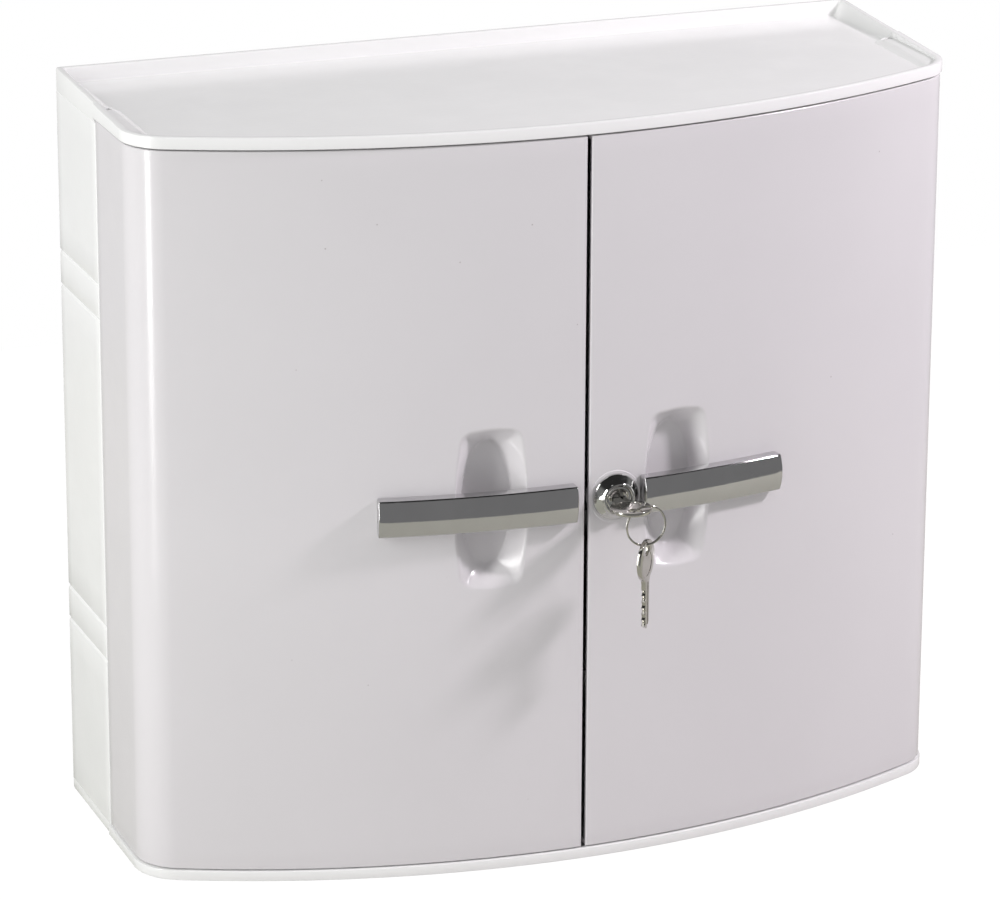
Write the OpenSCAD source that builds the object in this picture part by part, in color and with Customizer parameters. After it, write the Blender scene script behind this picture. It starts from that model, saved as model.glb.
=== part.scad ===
// Lockable bow-front medicine cabinet with two doors, a cam lock and a pair of keys.
// Origin: centre of the wall face. +Z up, +X to the right of someone facing the doors, who looks along +Y.

/* [Case] */
// Width over the side panels
case_w = 432; // [380:1:480]
// Height from the foot of the bottom tray to the rim of the top tray
case_h = 388; // [360:1:440]
// Depth from the wall to the front of the doors, in the middle
case_d = 180; // [170:1:200]
// Depth of the side panels
side_d = 68; // [64:1:95]
// Radius of the bowed front
bow_r = 480; // [460:1:560]
// Radius of the upright front corners
corner_r = 25; // [20:0.5:30]
// Thickness of the side panels
side_t = 2.8; // [2:0.1:3.2]
// Thickness of the back panel
back_t = 2.6; // [2.4:0.1:4]
// Distance between the two grooves of a pair on the side panels
groove_pitch = 18; // [12:1:24]
// Height of the groove pairs above and below the middle of the panel
groove_rise = 90; // [70:1:110]
// Height of one groove
groove_w = 1.6; // [1:0.1:2.5]
// Depth of one groove
groove_d = 0.6; // [0.3:0.1:0.8]

/* [Trays] */
// Height of the rim of the top tray at the sides and the back
rim_h = 12; // [11:0.5:16]
// Thickness of the rims of both trays
rim_t = 3; // [2.4:0.1:3.2]
// Thickness of the floor of the top tray
floor_t = 2; // [1.6:0.1:2.8]
// Depth of the top tray, from its rim to its floor
tray_drop = 7.4; // [6:0.1:8]
// Height of the bead over the doors
top_bead_h = 6; // [5:0.1:7]
// Thickness of the floor of the bottom tray
base_t = 3; // [2.4:0.1:3.6]
// Height of the bead under the doors
base_bead_h = 5; // [4.4:0.1:7]
// Overhang of both beads past the doors
bead_proud = 1; // [0.5:0.1:2]

/* [Shelves] */
// Height of the top of the middle shelf above the middle of the case
mid_shelf_z = -18; // [-24:1:-18]
// Height of the top of the lower shelf above the middle of the case
low_shelf_z = -104; // [-120:1:-90]
// Thickness of a shelf
shelf_t = 2.5; // [2:0.1:4]
// Height of the lip along the front of a shelf
lip_h = 8; // [6:0.5:12]
// Distance from the front of the doors back to the front of the shelves
shelf_setback = 28; // [28:0.5:34]
// Width of the ledges that carry the shelves
ledge_w = 8; // [6:0.5:10]

/* [Doors] */
// Thickness of the doors
door_t = 3; // [2.6:0.1:3.2]
// Gap between the two doors
door_gap = 2; // [1:0.1:3]
// Gap above and below the doors
door_clear = 1; // [0.6:0.1:2]
// Gap between the doors and the side panels
side_gap = 1.4; // [1.3:0.1:2.5]
// Width of the flanges along the top and bottom of the doors
flange_w = 9; // [8.5:0.1:10]
// Thickness of those flanges
flange_t = 2.5; // [2:0.1:3]
// Distance from the outer face of a door's side in to its hinge pin
pin_in = 5.5; // [5.3:0.1:6]
// Distance from the rear edge of a door forward to its hinge pin
pin_fwd = 12; // [12:0.5:15]
// Diameter of the hinge pins
pin_d = 4; // [3:0.1:4.2]
// Radial clearance of the pins in the doors and of the plug in its housing
run_clear = 0.06; // [0.04:0.01:0.09]

/* [Handles] */
// Distance from the gap between the doors to the far end of both handles
handle_far = 106; // [98:1:120]
// Distance from that gap to the near end of the left handle
left_handle_near = 7; // [5:1:9]
// Distance from that gap to the near end of the right handle
right_handle_near = 28.5; // [28:0.5:29.5]
// Height of the handle bars
handle_h = 19; // [17:0.5:24]
// Thickness of the handle bars in the middle of their height
handle_t = 8; // [7.5:0.5:9]
// Radius of the convex face of the handle bars, over their height
handle_face_r = 22; // [18:1:40]
// Height of the middle of the handles and of the lock above the middle of the case
handle_z = -2; // [-4:0.5:0]
// Distance from the gap between the doors to the middle of the finger recesses
recess_x = 49.5; // [49.5:0.5:52]
// Width of the finger recesses
recess_w = 38; // [30:0.5:38]
// Height of the finger recesses
recess_h = 84; // [70:1:100]
// Depth of the finger recesses
recess_d = 12; // [9:0.5:13]
// Radius of the corners of the finger recesses
recess_r = 9; // [6:0.5:12]
// Distance from the ends of a handle, or from a recess, to the handle screws
handle_screw_in = 8; // [7.5:0.5:9]
// Diameter of the shafts of the handle screws
handle_screw_d = 4; // [3:0.1:4.5]
// Diameter of the heads of the handle screws
handle_head_d = 7; // [6.5:0.1:8]

/* [Lock] */
// Distance from the gap between the doors to the axis of the lock
lock_x = 15; // [15:0.5:15.5]
// Diameter of the bezel
bezel_d = 24; // [20:0.5:25]
// Height of the bezel
bezel_h = 5.6; // [5:0.1:7]
// Diameter of the barrel
barrel_d = 16; // [15:0.1:17]
// Length of the barrel behind the bezel
barrel_l = 19.3; // [18.5:0.1:20]
// Diameter of the plug that the key turns
plug_d = 11.6; // [11:0.1:12]
// Width of the nut across its flats
nut_af = 22; // [20:0.5:23]
// Thickness of the nut
nut_t = 3.5; // [2.5:0.1:4.5]
// Length of the cam from the axis of the lock
cam_l = 35; // [34:0.5:38]
// Width of the cam
cam_w = 11; // [9:0.5:12]
// Thickness of the cam
cam_t = 2; // [1.5:0.1:2.5]
// Gap between the cam and what it locks against
cam_gap = 1.2; // [0.8:0.1:1.5]
// Thickness of the strike and of the hook on the left door
catch_t = 1.6; // [1.2:0.1:2]

/* [Keys] */
// Diameter of the round bow of a key
key_bow_d = 21; // [19:0.5:23]
// Diameter of the hole in the bow
key_hole_d = 6.4; // [6.2:0.1:7]
// Thickness of a key
key_t = 2; // [1.5:0.1:2.2]
// Width of the blade of a key
key_blade_w = 6.6; // [6:0.1:7.2]
// Length of the blade of a key that goes into the plug
key_blade_l = 21; // [18:0.5:21]
// Length of the shank between the bow and the face of the plug
key_shank = 4.4; // [1.5:0.1:5]
// Diameter of the key ring, through the middle of its wire
ring_d = 20.4; // [20:0.1:24]
// Diameter of the wire of the key ring
wire_d = 1.2; // [1:0.1:1.4]
// Turn of the spare key about the upright, away from facing the door
spare_turn = 48; // [45:1:65]

/* [Fixings] */
// Distance between the wall screw holes across the back
wall_hole_dx = 340; // [250:5:360]
// Distance between the wall screw holes up the back
wall_hole_dz = 300; // [200:5:310]
// Diameter of the wall screw holes
wall_hole_d = 5.5; // [4:0.1:6.5]
// Diameter of the shafts of the case screws
case_screw_d = 3; // [2.5:0.1:3.5]
// Diameter of the heads of the case screws
case_head_d = 6; // [5:0.1:7]
// Length of the case screws under their heads
case_screw_l = 9; // [7:0.5:12]

/* [Hidden] */

BIG_FN = 360;
$fn = 64;
EPS = 0.01;

WHITE = [0.93, 0.92, 0.93];
CHROME = [0.78, 0.78, 0.78];
STEEL = [0.6, 0.61, 0.62];
DARK = [0.2, 0.2, 0.21];

// Heights
top_z = case_h / 2;
base_z = -case_h / 2;
rim_z = top_z - rim_h;
floor_z = top_z - tray_drop;
top_bead_z = floor_z - floor_t;
base_bead_z = base_z + base_bead_h;
base_floor_z = base_z + base_t;
door_top_z = top_bead_z - door_clear;
door_base_z = base_bead_z + door_clear;
door_h = door_top_z - door_base_z;

// Plan
bow_cy = bow_r - case_d;
corner_cx = case_w / 2 - corner_r;
corner_cy = bow_cy - sqrt(pow(bow_r - corner_r, 2) - pow(corner_cx, 2));
door_rear_y = -side_d - side_gap;
inner_x = case_w / 2 - side_t;
pin_x = case_w / 2 - pin_in;
pin_y = door_rear_y - pin_fwd;
seam = door_gap / 2;
fit_gap = 0.2;
head_gap = 0.05;
carry_gap = 0.1;
ledge_in = 4;
shelf_in = 3;
rear_gap = 1;

// Space that the rear edge of a door sweeps about its pin
sweep_clear = 1.5;
sweep_r = sqrt(pow(pin_in, 2) + pow(pin_fwd, 2)) + sweep_clear;
shelf_front_x = pin_x - sweep_r;

// Hinges
pin_boss_d = 2 * pin_d;
pin_ear_rim = 4;
pin_sink = 2;
pin_foot = 1;
platform_w = 13;

// Lock, along -Y from the wall
seat_proud = 0.3;
seat_rim = 1.5;
seat_y = -case_d - seat_proud;
seat_back_y = -case_d + 2 * door_t;
barrel_end_y = seat_y + barrel_l;
cam_y = barrel_end_y + 0.5;
bezel_edge = 1.2;
bezel_bevel = 3.4;
bezel_lip = 0.8;
bezel_drop = 0.6;
plug_in = 0.4;
plug_face_y = seat_y - bezel_h + plug_in;
plug_lip = 0.8;
plug_head_d = plug_d + 2 * plug_lip;
plug_head_h = 2;
plug_head_gap = 0.5;
tang_d = 8;
tang_flat = 6;
cam_screw_d = 3;
cam_screw_l = 2.2;
cam_head_d = 8;
cam_head_h = 2.4;
slot_clear = 0.2;
slot_end = 0.6;
seat_d = bezel_d + 2 * seat_rim;
cam_hub_d = cam_w + 4;

// Strike in front of the locked cam, and hook behind it
strike_x = -6;
strike_w = 6;
strike_h = 22;
strike_base_l = 22;
strike_back_y = cam_y - cam_gap;
hook_x = -16;
hook_w = 7;
hook_front_y = cam_y + cam_t + cam_gap;
hook_clear = 1;
hook_arm_z = handle_z - cam_w / 2 - cam_gap - hook_clear;
hook_plate_h = 20;
strike_screw_d = 2.6;
strike_screw_in = 3;
strike_screw_pitch = 6;
strike_head_d = 4.6;
strike_head_h = 1.4;

// Catches
catch_x = 30;
catch_w = 20;
catch_h = 12;
catch_gap = 0.3;

// Key, with its bow centred on the lock's axis
CUTS = 6;
key_bow_y = plug_face_y - key_shank - key_bow_d / 2;
key_hole_rim = 1.8;
key_hole_off = (key_bow_d - key_hole_d) / 2 - key_hole_rim;
key_web_x = (key_hole_d / 2 + sqrt(pow(key_bow_d / 2, 2) - pow(key_hole_off, 2))) / 2;
key_web_half = key_web_x - key_hole_d / 2;
hang_gap = 0.4;
ring_inner_r = (ring_d - wire_d) / 2;
ring_cx = lock_x + key_web_x;
ring_cy = key_bow_y - key_hole_off;
ring_cz = handle_z + key_t / 2 + hang_gap - sqrt(pow(ring_inner_r, 2) - pow(key_web_half, 2));
spare_wire_z = ring_cz - ring_d / 2;
spare_bow_z = spare_wire_z + wire_d / 2 + hang_gap - key_hole_d / 2 - key_hole_off;

// Fixings
boss_w = 10;
boss_d = 11;
sink = 1.6;
screw_x = 150;
screw_z = 60;
wall_boss_d = 16.5;
wall_boss_h = 1.4;
screw_bite = 4.6;
screw_end = 0.4;
screw_clear = 0.4;
handle_head_h = 2.2;

// Outline of the doors, set in by inset
module plan(inset = 0) {
    r = max(corner_r - inset, 0);
    half = case_w / 2 - inset;
    reach = r > 0 ? corner_cx * (bow_r - inset) / (bow_r - corner_r) : half;
    intersection() {
        translate([0, bow_cy]) circle(r = bow_r - inset, $fn = BIG_FN);
        translate([-reach, -case_d]) square([2 * reach, case_d]);
    }
    translate([-half, corner_cy]) square([2 * half, -corner_cy]);
    if (r > 0)
        for (s = [-1, 1])
            translate([s * corner_cx, corner_cy]) circle(r = r);
}

// The same outline for a bead, set out by bead_proud
module bead_plan() {
    out_r = bow_r + bead_proud;
    half = case_w / 2 + bead_proud;
    reach = corner_cx * out_r / (bow_r - corner_r);
    intersection() {
        translate([0, bow_cy]) circle(r = out_r, $fn = BIG_FN);
        translate([-reach, -case_d - bead_proud]) square([2 * reach, case_d]);
    }
    translate([-half, corner_cy]) square([2 * half, -corner_cy - side_d]);
    for (s = [-1, 1])
        translate([s * corner_cx, corner_cy]) circle(r = corner_r + bead_proud);
}

// Places its children on the bow at x, with -Y along the outward normal and the origin on the face
module at_bow(x, z = 0) {
    translate([0, bow_cy, z])
        rotate([0, 0, asin(x / bow_r)])
            translate([0, -bow_r, 0]) children();
}

// Cylinder that starts at y and runs along +Y
module rod_y(d, l, y = 0) {
    translate([0, y, 0]) rotate([-90, 0, 0]) cylinder(d = d, h = l);
}

module on_pin(side) {
    translate([side * pin_x, pin_y, 0]) children();
}

// Places of the case screws on the back, those of the top tray first
CASE_SCREWS = [
    for (z = [top_bead_z - boss_w / 2, base_floor_z + boss_w / 2], sx = [-1, 1]) [sx * screw_x, 0, z],
    for (sx = [-1, 1], sz = [-1, 1]) [sx * (inner_x - boss_w / 2), 0, sz * screw_z]
];
TOP_SCREWS = [CASE_SCREWS[0], CASE_SCREWS[1]];
BASE_SCREWS = [CASE_SCREWS[2], CASE_SCREWS[3]];
RIGHT_SCREWS = [CASE_SCREWS[6], CASE_SCREWS[7]];

// Hole of a case screw, through the back and the block behind it, with the seat of its head
module case_screw_hole() {
    rod_y(case_screw_d, 3 * boss_d, -2 * boss_d);
    rod_y(case_head_d + fit_gap, 2 * sink, -sink);
}

// A block that a case screw runs into
module screw_boss() {
    translate([-boss_w / 2, -back_t - boss_d, -boss_w / 2]) cube([boss_w, boss_d, boss_w]);
}

// ---- Case ----

module back_panel() {
    half = inner_x - fit_gap;
    color(WHITE) difference() {
        union() {
            translate([-half, -back_t, base_floor_z])
                cube([2 * half, back_t, rim_z - base_floor_z]);
            for (sx = [-1, 1], sz = [-1, 1])
                translate([sx * wall_hole_dx / 2, 0, sz * wall_hole_dz / 2])
                    rod_y(wall_boss_d, back_t + wall_boss_h, -back_t - wall_boss_h);
        }
        for (sx = [-1, 1], sz = [-1, 1])
            translate([sx * wall_hole_dx / 2, 0, sz * wall_hole_dz / 2])
                rod_y(wall_hole_d, 4 * back_t, -3 * back_t);
        for (p = CASE_SCREWS)
            translate(p) case_screw_hole();
    }
}

// Right side panel; the left one is its mirror image
module side_panel() {
    color(WHITE) difference() {
        union() {
            translate([inner_x, -side_d, base_bead_z])
                cube([side_t, side_d, rim_z - base_bead_z]);
            for (z = [mid_shelf_z, low_shelf_z])
                translate([inner_x - ledge_w, -side_d + ledge_in, z - 2 * shelf_t])
                    cube([ledge_w, side_d - ledge_in - back_t - rear_gap, shelf_t]);
            for (p = RIGHT_SCREWS)
                translate(p) screw_boss();
        }
        for (sz = [-1, 1], sp = [-1, 1])
            translate([case_w / 2 - groove_d, 0, sz * groove_rise + sp * groove_pitch / 2])
                translate([0, -1.5 * side_d, -groove_w / 2]) cube([2 * groove_d, 2 * side_d, groove_w]);
        for (p = RIGHT_SCREWS)
            translate(p) case_screw_hole();
    }
}

module left_side_panel() {
    mirror([1, 0, 0]) side_panel();
}

module right_side_panel() {
    side_panel();
}

module hinge_boss_top(side) {
    on_pin(side) translate([0, 0, door_top_z + carry_gap])
        cylinder(d = pin_boss_d, h = top_bead_z - door_top_z - carry_gap);
}

module top_tray() {
    pocket_x = inner_x + side_t - rim_t;
    color(WHITE) difference() {
        union() {
            // floor under the doors' bead and over the case
            translate([0, 0, top_bead_z]) linear_extrude(floor_t) plan(EPS);
            // bead round the front
            translate([0, 0, top_bead_z]) linear_extrude(top_bead_h) difference() {
                bead_plan();
                plan(rim_t);
            }
            // rim at the sides and the back
            translate([0, 0, rim_z]) linear_extrude(rim_h) difference() {
                translate([-case_w / 2, -side_d]) square([case_w, side_d]);
                translate([-pocket_x, -2 * side_d - rim_t]) square([2 * pocket_x, 2 * side_d]);
            }
            // platforms that hold the upper hinge pins
            for (s = [-1, 1]) {
                translate([s * (case_w - platform_w) / 2 - platform_w / 2, corner_cy, floor_z - EPS])
                    cube([platform_w, -corner_cy - side_d, top_bead_h - floor_t]);
                hinge_boss_top(s);
            }
            for (p = TOP_SCREWS)
                translate(p) screw_boss();
        }
        for (s = [-1, 1])
            on_pin(s) cylinder(d = pin_d, h = 2 * top_z);
        for (p = TOP_SCREWS)
            translate(p) case_screw_hole();
    }
}

module bottom_tray() {
    color(WHITE) difference() {
        union() {
            translate([0, 0, base_z]) linear_extrude(base_t) plan(EPS);
            translate([0, 0, base_z]) linear_extrude(base_bead_h) difference() {
                bead_plan();
                plan(rim_t);
            }
            translate([0, 0, base_z]) linear_extrude(base_bead_h)
                for (s = [-1, 1])
                    translate([s * (case_w - side_t) / 2 - side_t / 2, -side_d]) square([side_t, side_d]);
            for (s = [-1, 1])
                on_pin(s) translate([0, 0, base_z])
                    cylinder(d = pin_boss_d, h = door_base_z - carry_gap - base_z);
            for (p = BASE_SCREWS)
                translate(p) screw_boss();
        }
        for (s = [-1, 1])
            on_pin(s) translate([0, 0, base_z + pin_foot]) cylinder(d = pin_d, h = case_h / 4);
        for (p = BASE_SCREWS)
            translate(p) case_screw_hole();
    }
}

module shelf(z) {
    half = inner_x - fit_gap;
    rear_y = -back_t - fit_gap;
    color(WHITE) {
        translate([0, 0, z - shelf_t]) linear_extrude(shelf_t) {
            translate([-half, -side_d + shelf_in]) square([2 * half, side_d - shelf_in + rear_y]);
            intersection() {
                plan(shelf_setback);
                translate([-shelf_front_x, -case_d]) square([2 * shelf_front_x, case_d + rear_y]);
            }
        }
        translate([0, 0, z - lip_h]) linear_extrude(lip_h) intersection() {
            difference() {
                plan(shelf_setback);
                plan(shelf_setback + shelf_t);
            }
            translate([-shelf_front_x, -case_d]) square([2 * shelf_front_x, case_d - side_d]);
        }
    }
}

module middle_shelf() {
    difference() {
        shelf(mid_shelf_z);
        for (p = STRIKE_SCREWS)
            translate(p) cylinder(d = strike_screw_d, h = 4 * shelf_t, center = true);
    }
}

module lower_shelf() {
    shelf(low_shelf_z);
}

module case_screws() {
    color(STEEL) for (p = CASE_SCREWS)
        translate(p) {
            rod_y(case_screw_d, case_screw_l, -sink - case_screw_l);
            rod_y(case_head_d, sink - fit_gap, -sink);
        }
}

module upper_pin(side) {
    color(STEEL) on_pin(side) translate([0, 0, door_top_z - flange_t])
        cylinder(d = pin_d, h = top_bead_z + top_bead_h - pin_sink - door_top_z + flange_t);
}

module lower_pin(side) {
    color(STEEL) on_pin(side) translate([0, 0, base_z + pin_foot])
        cylinder(d = pin_d, h = door_base_z + flange_t - base_z - pin_foot);
}

module upper_left_pin() { upper_pin(-1); }
module lower_left_pin() { lower_pin(-1); }
module upper_right_pin() { upper_pin(1); }
module lower_right_pin() { lower_pin(1); }

// ---- Catches at the top of the doors ----

// Distance from the face of a door back to the plate and to the magnet
plate_off = bow_r - (bow_r - flange_w) * cos(asin(catch_w / 2 / (bow_r - flange_w))) + head_gap;
magnet_off = plate_off + catch_t + catch_gap;

module catch_plate(side) {
    color(STEEL) at_bow(side * catch_x, door_top_z - catch_h)
        translate([-catch_w / 2, plate_off, 0]) cube([catch_w, catch_t, catch_h]);
}

module left_catch_plate() { catch_plate(-1); }
module right_catch_plate() { catch_plate(1); }

module door_magnets() {
    color(DARK) for (side = [-1, 1])
        at_bow(side * catch_x, door_top_z - catch_h)
            translate([-catch_w / 2, magnet_off, 0])
                cube([catch_w, catch_h, catch_h + top_bead_z - door_top_z]);
}

// ---- Strike on the middle shelf ----

STRIKE_SCREWS = [
    for (i = [0, 1])
        [strike_x, strike_back_y + strike_base_l - strike_screw_in - strike_screw_pitch * i, mid_shelf_z]
];

module lock_strike() {
    color(STEEL) translate([strike_x - strike_w / 2, 0, mid_shelf_z]) difference() {
        union() {
            translate([0, strike_back_y - catch_t, 0]) cube([strike_w, strike_base_l + catch_t, catch_t]);
            translate([0, strike_back_y - catch_t, 0]) cube([strike_w, catch_t, strike_h]);
        }
        for (p = STRIKE_SCREWS)
            translate([strike_w / 2, p.y, 0]) cylinder(d = strike_screw_d, h = 4 * catch_t, center = true);
    }
}

module strike_screws() {
    color(STEEL) for (p = STRIKE_SCREWS)
        translate(p) {
            translate([0, 0, -shelf_t]) cylinder(d = strike_screw_d, h = shelf_t + catch_t + EPS);
            translate([0, 0, catch_t]) cylinder(d = strike_head_d, h = strike_head_h);
        }
}

// ---- Doors ----

// Block of the size of a finger recess, set out by wall, from y to the bottom of the recess
module recess_block(y, wall = 0) {
    w = recess_w + 2 * wall;
    h = recess_h + 2 * wall;
    r = recess_r + wall;
    d = recess_d + wall - y;
    translate([0, y + d, 0]) rotate([90, 0, 0]) linear_extrude(d) {
        square([w - 2 * r, h], center = true);
        square([w, h - 2 * r], center = true);
        for (sx = [-1, 1], sz = [-1, 1])
            translate([sx * (w / 2 - r), sz * (h / 2 - r)]) circle(r = r);
    }
}

// Places of the handle screws along the bow; those of the right handle keep clear of the recess
LEFT_HANDLE_SCREWS = [-handle_far + handle_screw_in, -left_handle_near - handle_screw_in];
RIGHT_HANDLE_SCREWS = [recess_x + recess_w / 2 + handle_screw_in, handle_far - handle_screw_in];

// Right door without its lock seat; the left one is its mirror image
module door_shell(screws) {
    difference() {
        union() {
            translate([0, 0, door_base_z]) linear_extrude(door_h) intersection() {
                difference() {
                    plan();
                    plan(door_t);
                }
                translate([seam, -case_d]) square([case_w, case_d + door_rear_y]);
            }
            for (z = [door_base_z, door_top_z - flange_t])
                translate([0, 0, z]) linear_extrude(flange_t) intersection() {
                    union() {
                        difference() {
                            plan(EPS);
                            plan(flange_w);
                        }
                        translate([pin_x, pin_y]) circle(r = pin_d / 2 + pin_ear_rim);
                    }
                    translate([seam, -case_d]) square([case_w / 2 - EPS - seam, case_d + door_rear_y]);
                }
            at_bow(recess_x, handle_z) recess_block(door_t / 3, door_t);
        }
        at_bow(recess_x, handle_z) recess_block(-1);
        for (x = screws)
            at_bow(x, handle_z) rod_y(handle_screw_d + screw_clear, 4 * door_t, -2 * door_t);
        on_pin(1) translate([0, 0, -top_z]) cylinder(r = pin_d / 2 + run_clear, h = 2 * top_z);
    }
}

module left_door() {
    color(WHITE) mirror([1, 0, 0]) door_shell(-LEFT_HANDLE_SCREWS);
}

module right_door() {
    color(WHITE) difference() {
        union() {
            door_shell(RIGHT_HANDLE_SCREWS);
            translate([lock_x, 0, handle_z]) rod_y(seat_d, seat_back_y - seat_y, seat_y);
        }
        translate([lock_x, 0, handle_z]) rod_y(barrel_d, 4 * door_t, seat_y - door_t);
    }
}

// Cross-section of a handle bar: flat back and convex front
module bar_section() {
    intersection() {
        translate([bow_r + EPS, -handle_h / 2]) square([handle_t, handle_h]);
        translate([bow_r + EPS + handle_t - handle_face_r, 0]) circle(r = handle_face_r, $fn = 180);
    }
}

module bar(from_x, to_x, screws) {
    from_a = asin(from_x / bow_r) - 90;
    sweep_a = asin(to_x / bow_r) - asin(from_x / bow_r);
    color(CHROME) difference() {
        translate([0, bow_cy, handle_z]) rotate([0, 0, from_a])
            rotate_extrude(angle = sweep_a, $fn = BIG_FN) bar_section();
        for (x = screws)
            at_bow(x, handle_z) rod_y(handle_screw_d, handle_t, -screw_bite - screw_end);
    }
}

module left_handle() {
    bar(-handle_far, -left_handle_near, LEFT_HANDLE_SCREWS);
}

module right_handle() {
    bar(right_handle_near, handle_far, RIGHT_HANDLE_SCREWS);
}

module handle_screws(spots) {
    color(STEEL) for (x = spots)
        at_bow(x, handle_z) {
            rod_y(handle_screw_d, door_t + screw_bite + head_gap, -screw_bite);
            rod_y(handle_head_d, handle_head_h, door_t + head_gap);
        }
}

module left_handle_screws() { handle_screws(LEFT_HANDLE_SCREWS); }
module right_handle_screws() { handle_screws(RIGHT_HANDLE_SCREWS); }

// Hook on the left door that stands behind the locked cam
module left_door_hook() {
    reach = case_d + hook_front_y - door_t - head_gap;
    color(STEEL) at_bow(hook_x, hook_arm_z) translate([-hook_w / 2, door_t + head_gap, 0]) {
        translate([0, 0, catch_t - hook_plate_h]) cube([hook_w, catch_t, hook_plate_h]);
        cube([hook_w, reach + catch_t, catch_t]);
        translate([0, reach, 0]) cube([hook_w, catch_t, cam_w + cam_gap]);
    }
}

// ---- Lock ----

// Places its children on the lock's axis
module on_lock() {
    translate([lock_x, 0, handle_z]) children();
}

module lock_housing() {
    bezel_r = bezel_d / 2;
    head_r = plug_head_d / 2 + run_clear;
    bore_r = plug_d / 2 + run_clear;
    head_seat = bezel_h - plug_head_h - plug_head_gap;
    color(CHROME) on_lock() translate([0, seat_y, 0]) rotate([90, 0, 0])
        rotate_extrude($fn = 96) polygon([
            [bore_r, -barrel_l],
            [barrel_d / 2, -barrel_l],
            [barrel_d / 2, 0],
            [bezel_r, 0],
            [bezel_r, bezel_edge],
            [bezel_r - bezel_bevel, bezel_h - bezel_drop],
            [bezel_r - bezel_bevel - bezel_lip, bezel_h],
            [head_r, bezel_h],
            [head_r, head_seat],
            [bore_r, head_seat]
        ]);
}

module lock_nut() {
    color(STEEL) on_lock() translate([0, seat_back_y, 0]) rotate([-90, 0, 0]) difference() {
        rotate([0, 0, 30]) cylinder(d = nut_af / cos(30), h = nut_t, $fn = 6);
        translate([0, 0, -1]) cylinder(d = barrel_d, h = nut_t + 2);
    }
}

module lock_plug() {
    color(CHROME) on_lock() difference() {
        union() {
            rod_y(plug_head_d, plug_head_h, plug_face_y);
            rod_y(plug_d, cam_y - plug_face_y - 1, plug_face_y + 1);
            intersection() {
                rod_y(tang_d, cam_t + 1, cam_y - 1);
                translate([-tang_flat / 2, cam_y - 1, -tang_d]) cube([tang_flat, cam_t + 1, 2 * tang_d]);
            }
        }
        translate([-key_blade_w / 2 - slot_clear, plug_face_y - 1, -key_t / 2 - slot_clear])
            cube([key_blade_w + 2 * slot_clear, 1 + key_blade_l + slot_end, key_t + 2 * slot_clear]);
        rod_y(cam_screw_d, cam_screw_l + 2 * cam_t, cam_y - cam_screw_l);
    }
}

module lock_cam() {
    color(STEEL) on_lock() translate([0, cam_y, 0]) rotate([-90, 0, 0]) difference() {
        linear_extrude(cam_t) {
            circle(d = cam_hub_d);
            translate([-cam_w / 2, -cam_l + cam_w / 2]) square([cam_w, cam_l - cam_w / 2]);
            translate([0, -cam_l + cam_w / 2]) circle(d = cam_w);
        }
        translate([0, 0, -1]) intersection() {
            cylinder(d = tang_d, h = 2 * cam_t);
            translate([-tang_flat / 2, -tang_d, 0]) cube([tang_flat, 2 * tang_d, 2 * cam_t]);
        }
    }
}

module cam_screw() {
    color(STEEL) on_lock() {
        rod_y(cam_head_d, cam_head_h, cam_y + cam_t);
        rod_y(cam_screw_d, cam_screw_l + cam_t + EPS, cam_y - cam_screw_l);
    }
}

// ---- Keys ----

// A key with its bow at the origin, its blade along +Y and its faces square to Z
module key_blank() {
    blade_y = key_bow_d / 2 + key_shank;
    half = key_blade_w / 2;
    peak = 0.2;
    cut = 1.1;
    step = 0.4;
    pitch = 3.2;
    tip_l = 3;
    nose_l = 1.6;
    linear_extrude(key_t, center = true) difference() {
        union() {
            circle(d = key_bow_d, $fn = 96);
            translate([-half, 0]) square([key_blade_w, blade_y + EPS]);
            translate([0, blade_y]) polygon(concat(
                [[half, 0], [half, key_blade_l - tip_l]],
                [[0, key_blade_l], [-half + cut, key_blade_l - nose_l]],
                [for (i = [CUTS - 1:-1:0]) each [
                    [-half + peak, (i + 0.9) * pitch],
                    [-half + cut + step * (i % 2), (i + 0.5) * pitch]
                ]],
                [[-half, 0]]
            ));
        }
        translate([0, -key_hole_off]) circle(d = key_hole_d);
    }
}

module key() {
    color(CHROME) translate([lock_x, key_bow_y, handle_z]) key_blank();
}

module key_ring() {
    color(CHROME) translate([ring_cx, ring_cy, ring_cz]) rotate([90, 0, 0])
        rotate_extrude($fn = 96) translate([ring_d / 2, 0]) circle(d = wire_d, $fn = 32);
}

module spare_key() {
    color(CHROME) translate([ring_cx, ring_cy, spare_bow_z])
        rotate([0, 0, spare_turn]) rotate([-90, 0, 0]) key_blank();
}

back_panel();
left_side_panel();
right_side_panel();
top_tray();
bottom_tray();
middle_shelf();
lower_shelf();
case_screws();
upper_left_pin();
lower_left_pin();
upper_right_pin();
lower_right_pin();
door_magnets();
lock_strike();
strike_screws();
left_door();
left_handle();
left_handle_screws();
left_door_hook();
left_catch_plate();
right_door();
right_handle();
right_handle_screws();
right_catch_plate();
lock_housing();
lock_nut();
lock_plug();
lock_cam();
cam_screw();
key();
key_ring();
spare_key();
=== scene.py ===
"""Looks of the lockable medicine cabinet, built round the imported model.

Lengths are in metres and angles in radians. The origin is the centre of the wall face, +Z is up,
and +X is to the right of a person who faces the doors.
"""

from math import asin, ceil, cos, hypot, pi, radians, sin, sqrt

import bmesh
import bpy
from mathutils import Matrix, Vector


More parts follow.
